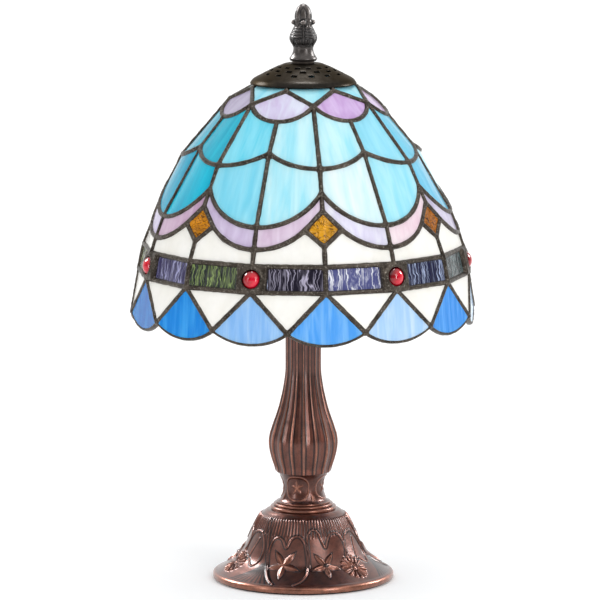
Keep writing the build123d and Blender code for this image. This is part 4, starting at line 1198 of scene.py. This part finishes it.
paint_nodes(plain_metal("turned_brass", (0.72, 0.50, 0.20), 0.30), "screw_shell", "centre_contact",
            "terminal_screws", "bulb_cap")
paint_nodes(plain_metal("plated_steel", (0.55, 0.55, 0.57), 0.34), "swivel_stud", "harp", "harp_saddle",
            "lamp_pipe", "under_washer", "lock_washer", "hex_nut", "bulb_tip")
paint_nodes(plain_metal("bronzed_steel", (0.085, 0.070, 0.060), 0.42, metallic=0.8), "shade_spider",
            "finial_washer")
paint_nodes(moulded("black_phenolic", (0.016, 0.016, 0.017), 0.38), "holder_cap", "holder_body",
            "bulb_insulator")
paint_nodes(moulded("glazed_ceramic", (0.80, 0.78, 0.73), 0.22), "holder_core")
paint_nodes(bulb_glass(), "bulb_glass", "bulb_stem")
paint_nodes(moulded("phosphor", (0.85, 0.55, 0.12), 0.5), "bulb_filaments")
paint_nodes(moulded("pressed_felt", (0.02, 0.02, 0.022), 0.92, 1.6, 0.6), "felt_pad")
paint_nodes(moulded("black_rubber", (0.018, 0.018, 0.018), 0.6), "cord_bush")

# ---------------------------------------------------------------- stage, light and camera
scene = bpy.context.scene
floor_mesh = bpy.data.meshes.new("floor")
floor_mesh.from_pydata([(-6, -6, 0), (6, -6, 0), (6, 9, 0), (-6, 9, 0)], [], [(0, 1, 2, 3)])
floor = bpy.data.objects.new("floor", floor_mesh)
scene.collection.objects.link(floor)
floor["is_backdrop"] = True
paint(moulded("pale_floor", (0.97, 0.97, 0.97), 0.95, 0.4, 0.0, dim=0.995,
              emission_color=(1.0, 1.0, 1.0, 1.0), emission_strength=0.13), floor)

world = bpy.data.worlds.new("studio")
world.use_nodes = True
sky = world.node_tree.nodes
wires = world.node_tree.links
toward = sky.new("ShaderNodeSeparateXYZ")
wires.new(sky.new("ShaderNodeTexCoord").outputs["Generated"], toward.inputs[0])
brighter = sky.new("ShaderNodeMath")
brighter.operation = "MAXIMUM"
# Bright behind the lamp and overhead: an axis, where the rise starts and ends along it, its two strengths.
for turn, (axis, *limits) in enumerate((("Y", -0.5, 0.75, 0.23, 1.0), ("Z", 0.30, 0.75, 0.0, 1.28))):
    rise = sky.new("ShaderNodeMapRange")
    rise.interpolation_type = "SMOOTHSTEP"
    for socket, value in zip(("From Min", "From Max", "To Min", "To Max"), limits):
        rise.inputs[socket].default_value = value
    wires.new(toward.outputs[axis], rise.inputs["Value"])
    wires.new(rise.outputs["Result"], brighter.inputs[turn])
wires.new(brighter.outputs["Value"], sky["Background"].inputs["Strength"])
sky["Background"].inputs["Color"].default_value = (1.0, 1.0, 1.0, 1.0)
scene.world = world
scene.view_settings.view_transform = "Standard"

polished = bpy.data.collections.new("highlit_pieces")
for piece in (column, foot, heat_cap, finial, jewels):
    polished.objects.link(piece)
aim = Vector((0.0, 0.0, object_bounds()[1][2] * 0.55))
# Place in metres, size, power, and the pieces that alone receive it.
for name, place, size, power, only in (
    ("key", (0.95, -1.25, 0.95), (0.7, 0.7), 6.8, None),
    ("fill", (-1.5, -0.9, 0.6), (0.6, 1.0), 2.0, None),
    ("metal_right", (0.95, -1.35, 0.35), (0.18, 0.7), 6.5, polished),
    ("metal_left", (-1.2, -1.0, 0.4), (0.10, 0.7), 3.2, polished),
    ("metal_back_left", (-1.15, 0.75, 1.1), (0.5, 0.5), 26.0, polished),
    ("metal_back_right", (1.25, 0.55, 0.8), (0.4, 0.5), 16.0, polished),
    ("metal_top", (0.05, 0.35, 1.7), (0.5, 0.25), 18.0, polished),
):
    lamp = bpy.data.lights.new(name, "AREA")
    lamp.shape = "RECTANGLE"
    lamp.size, lamp.size_y = size
    lamp.energy = power
    light = bpy.data.objects.new(name, lamp)
    scene.collection.objects.link(light)
    light.location = place
    light.rotation_euler = (aim - light.location).to_track_quat("-Z", "Y").to_euler()
    if only:
        light.light_linking.receiver_collection = only

camera_data = bpy.data.cameras.new("camera")
camera_data.lens = 283.69
camera_data.sensor_width = 36.0
camera = bpy.data.objects.new("camera", camera_data)
scene.collection.objects.link(camera)
camera.location = (-0.00187, -2.68375, 0.56147)
camera.rotation_euler = (math.radians(90 - 8.4628), 0, 0)
scene.camera = camera
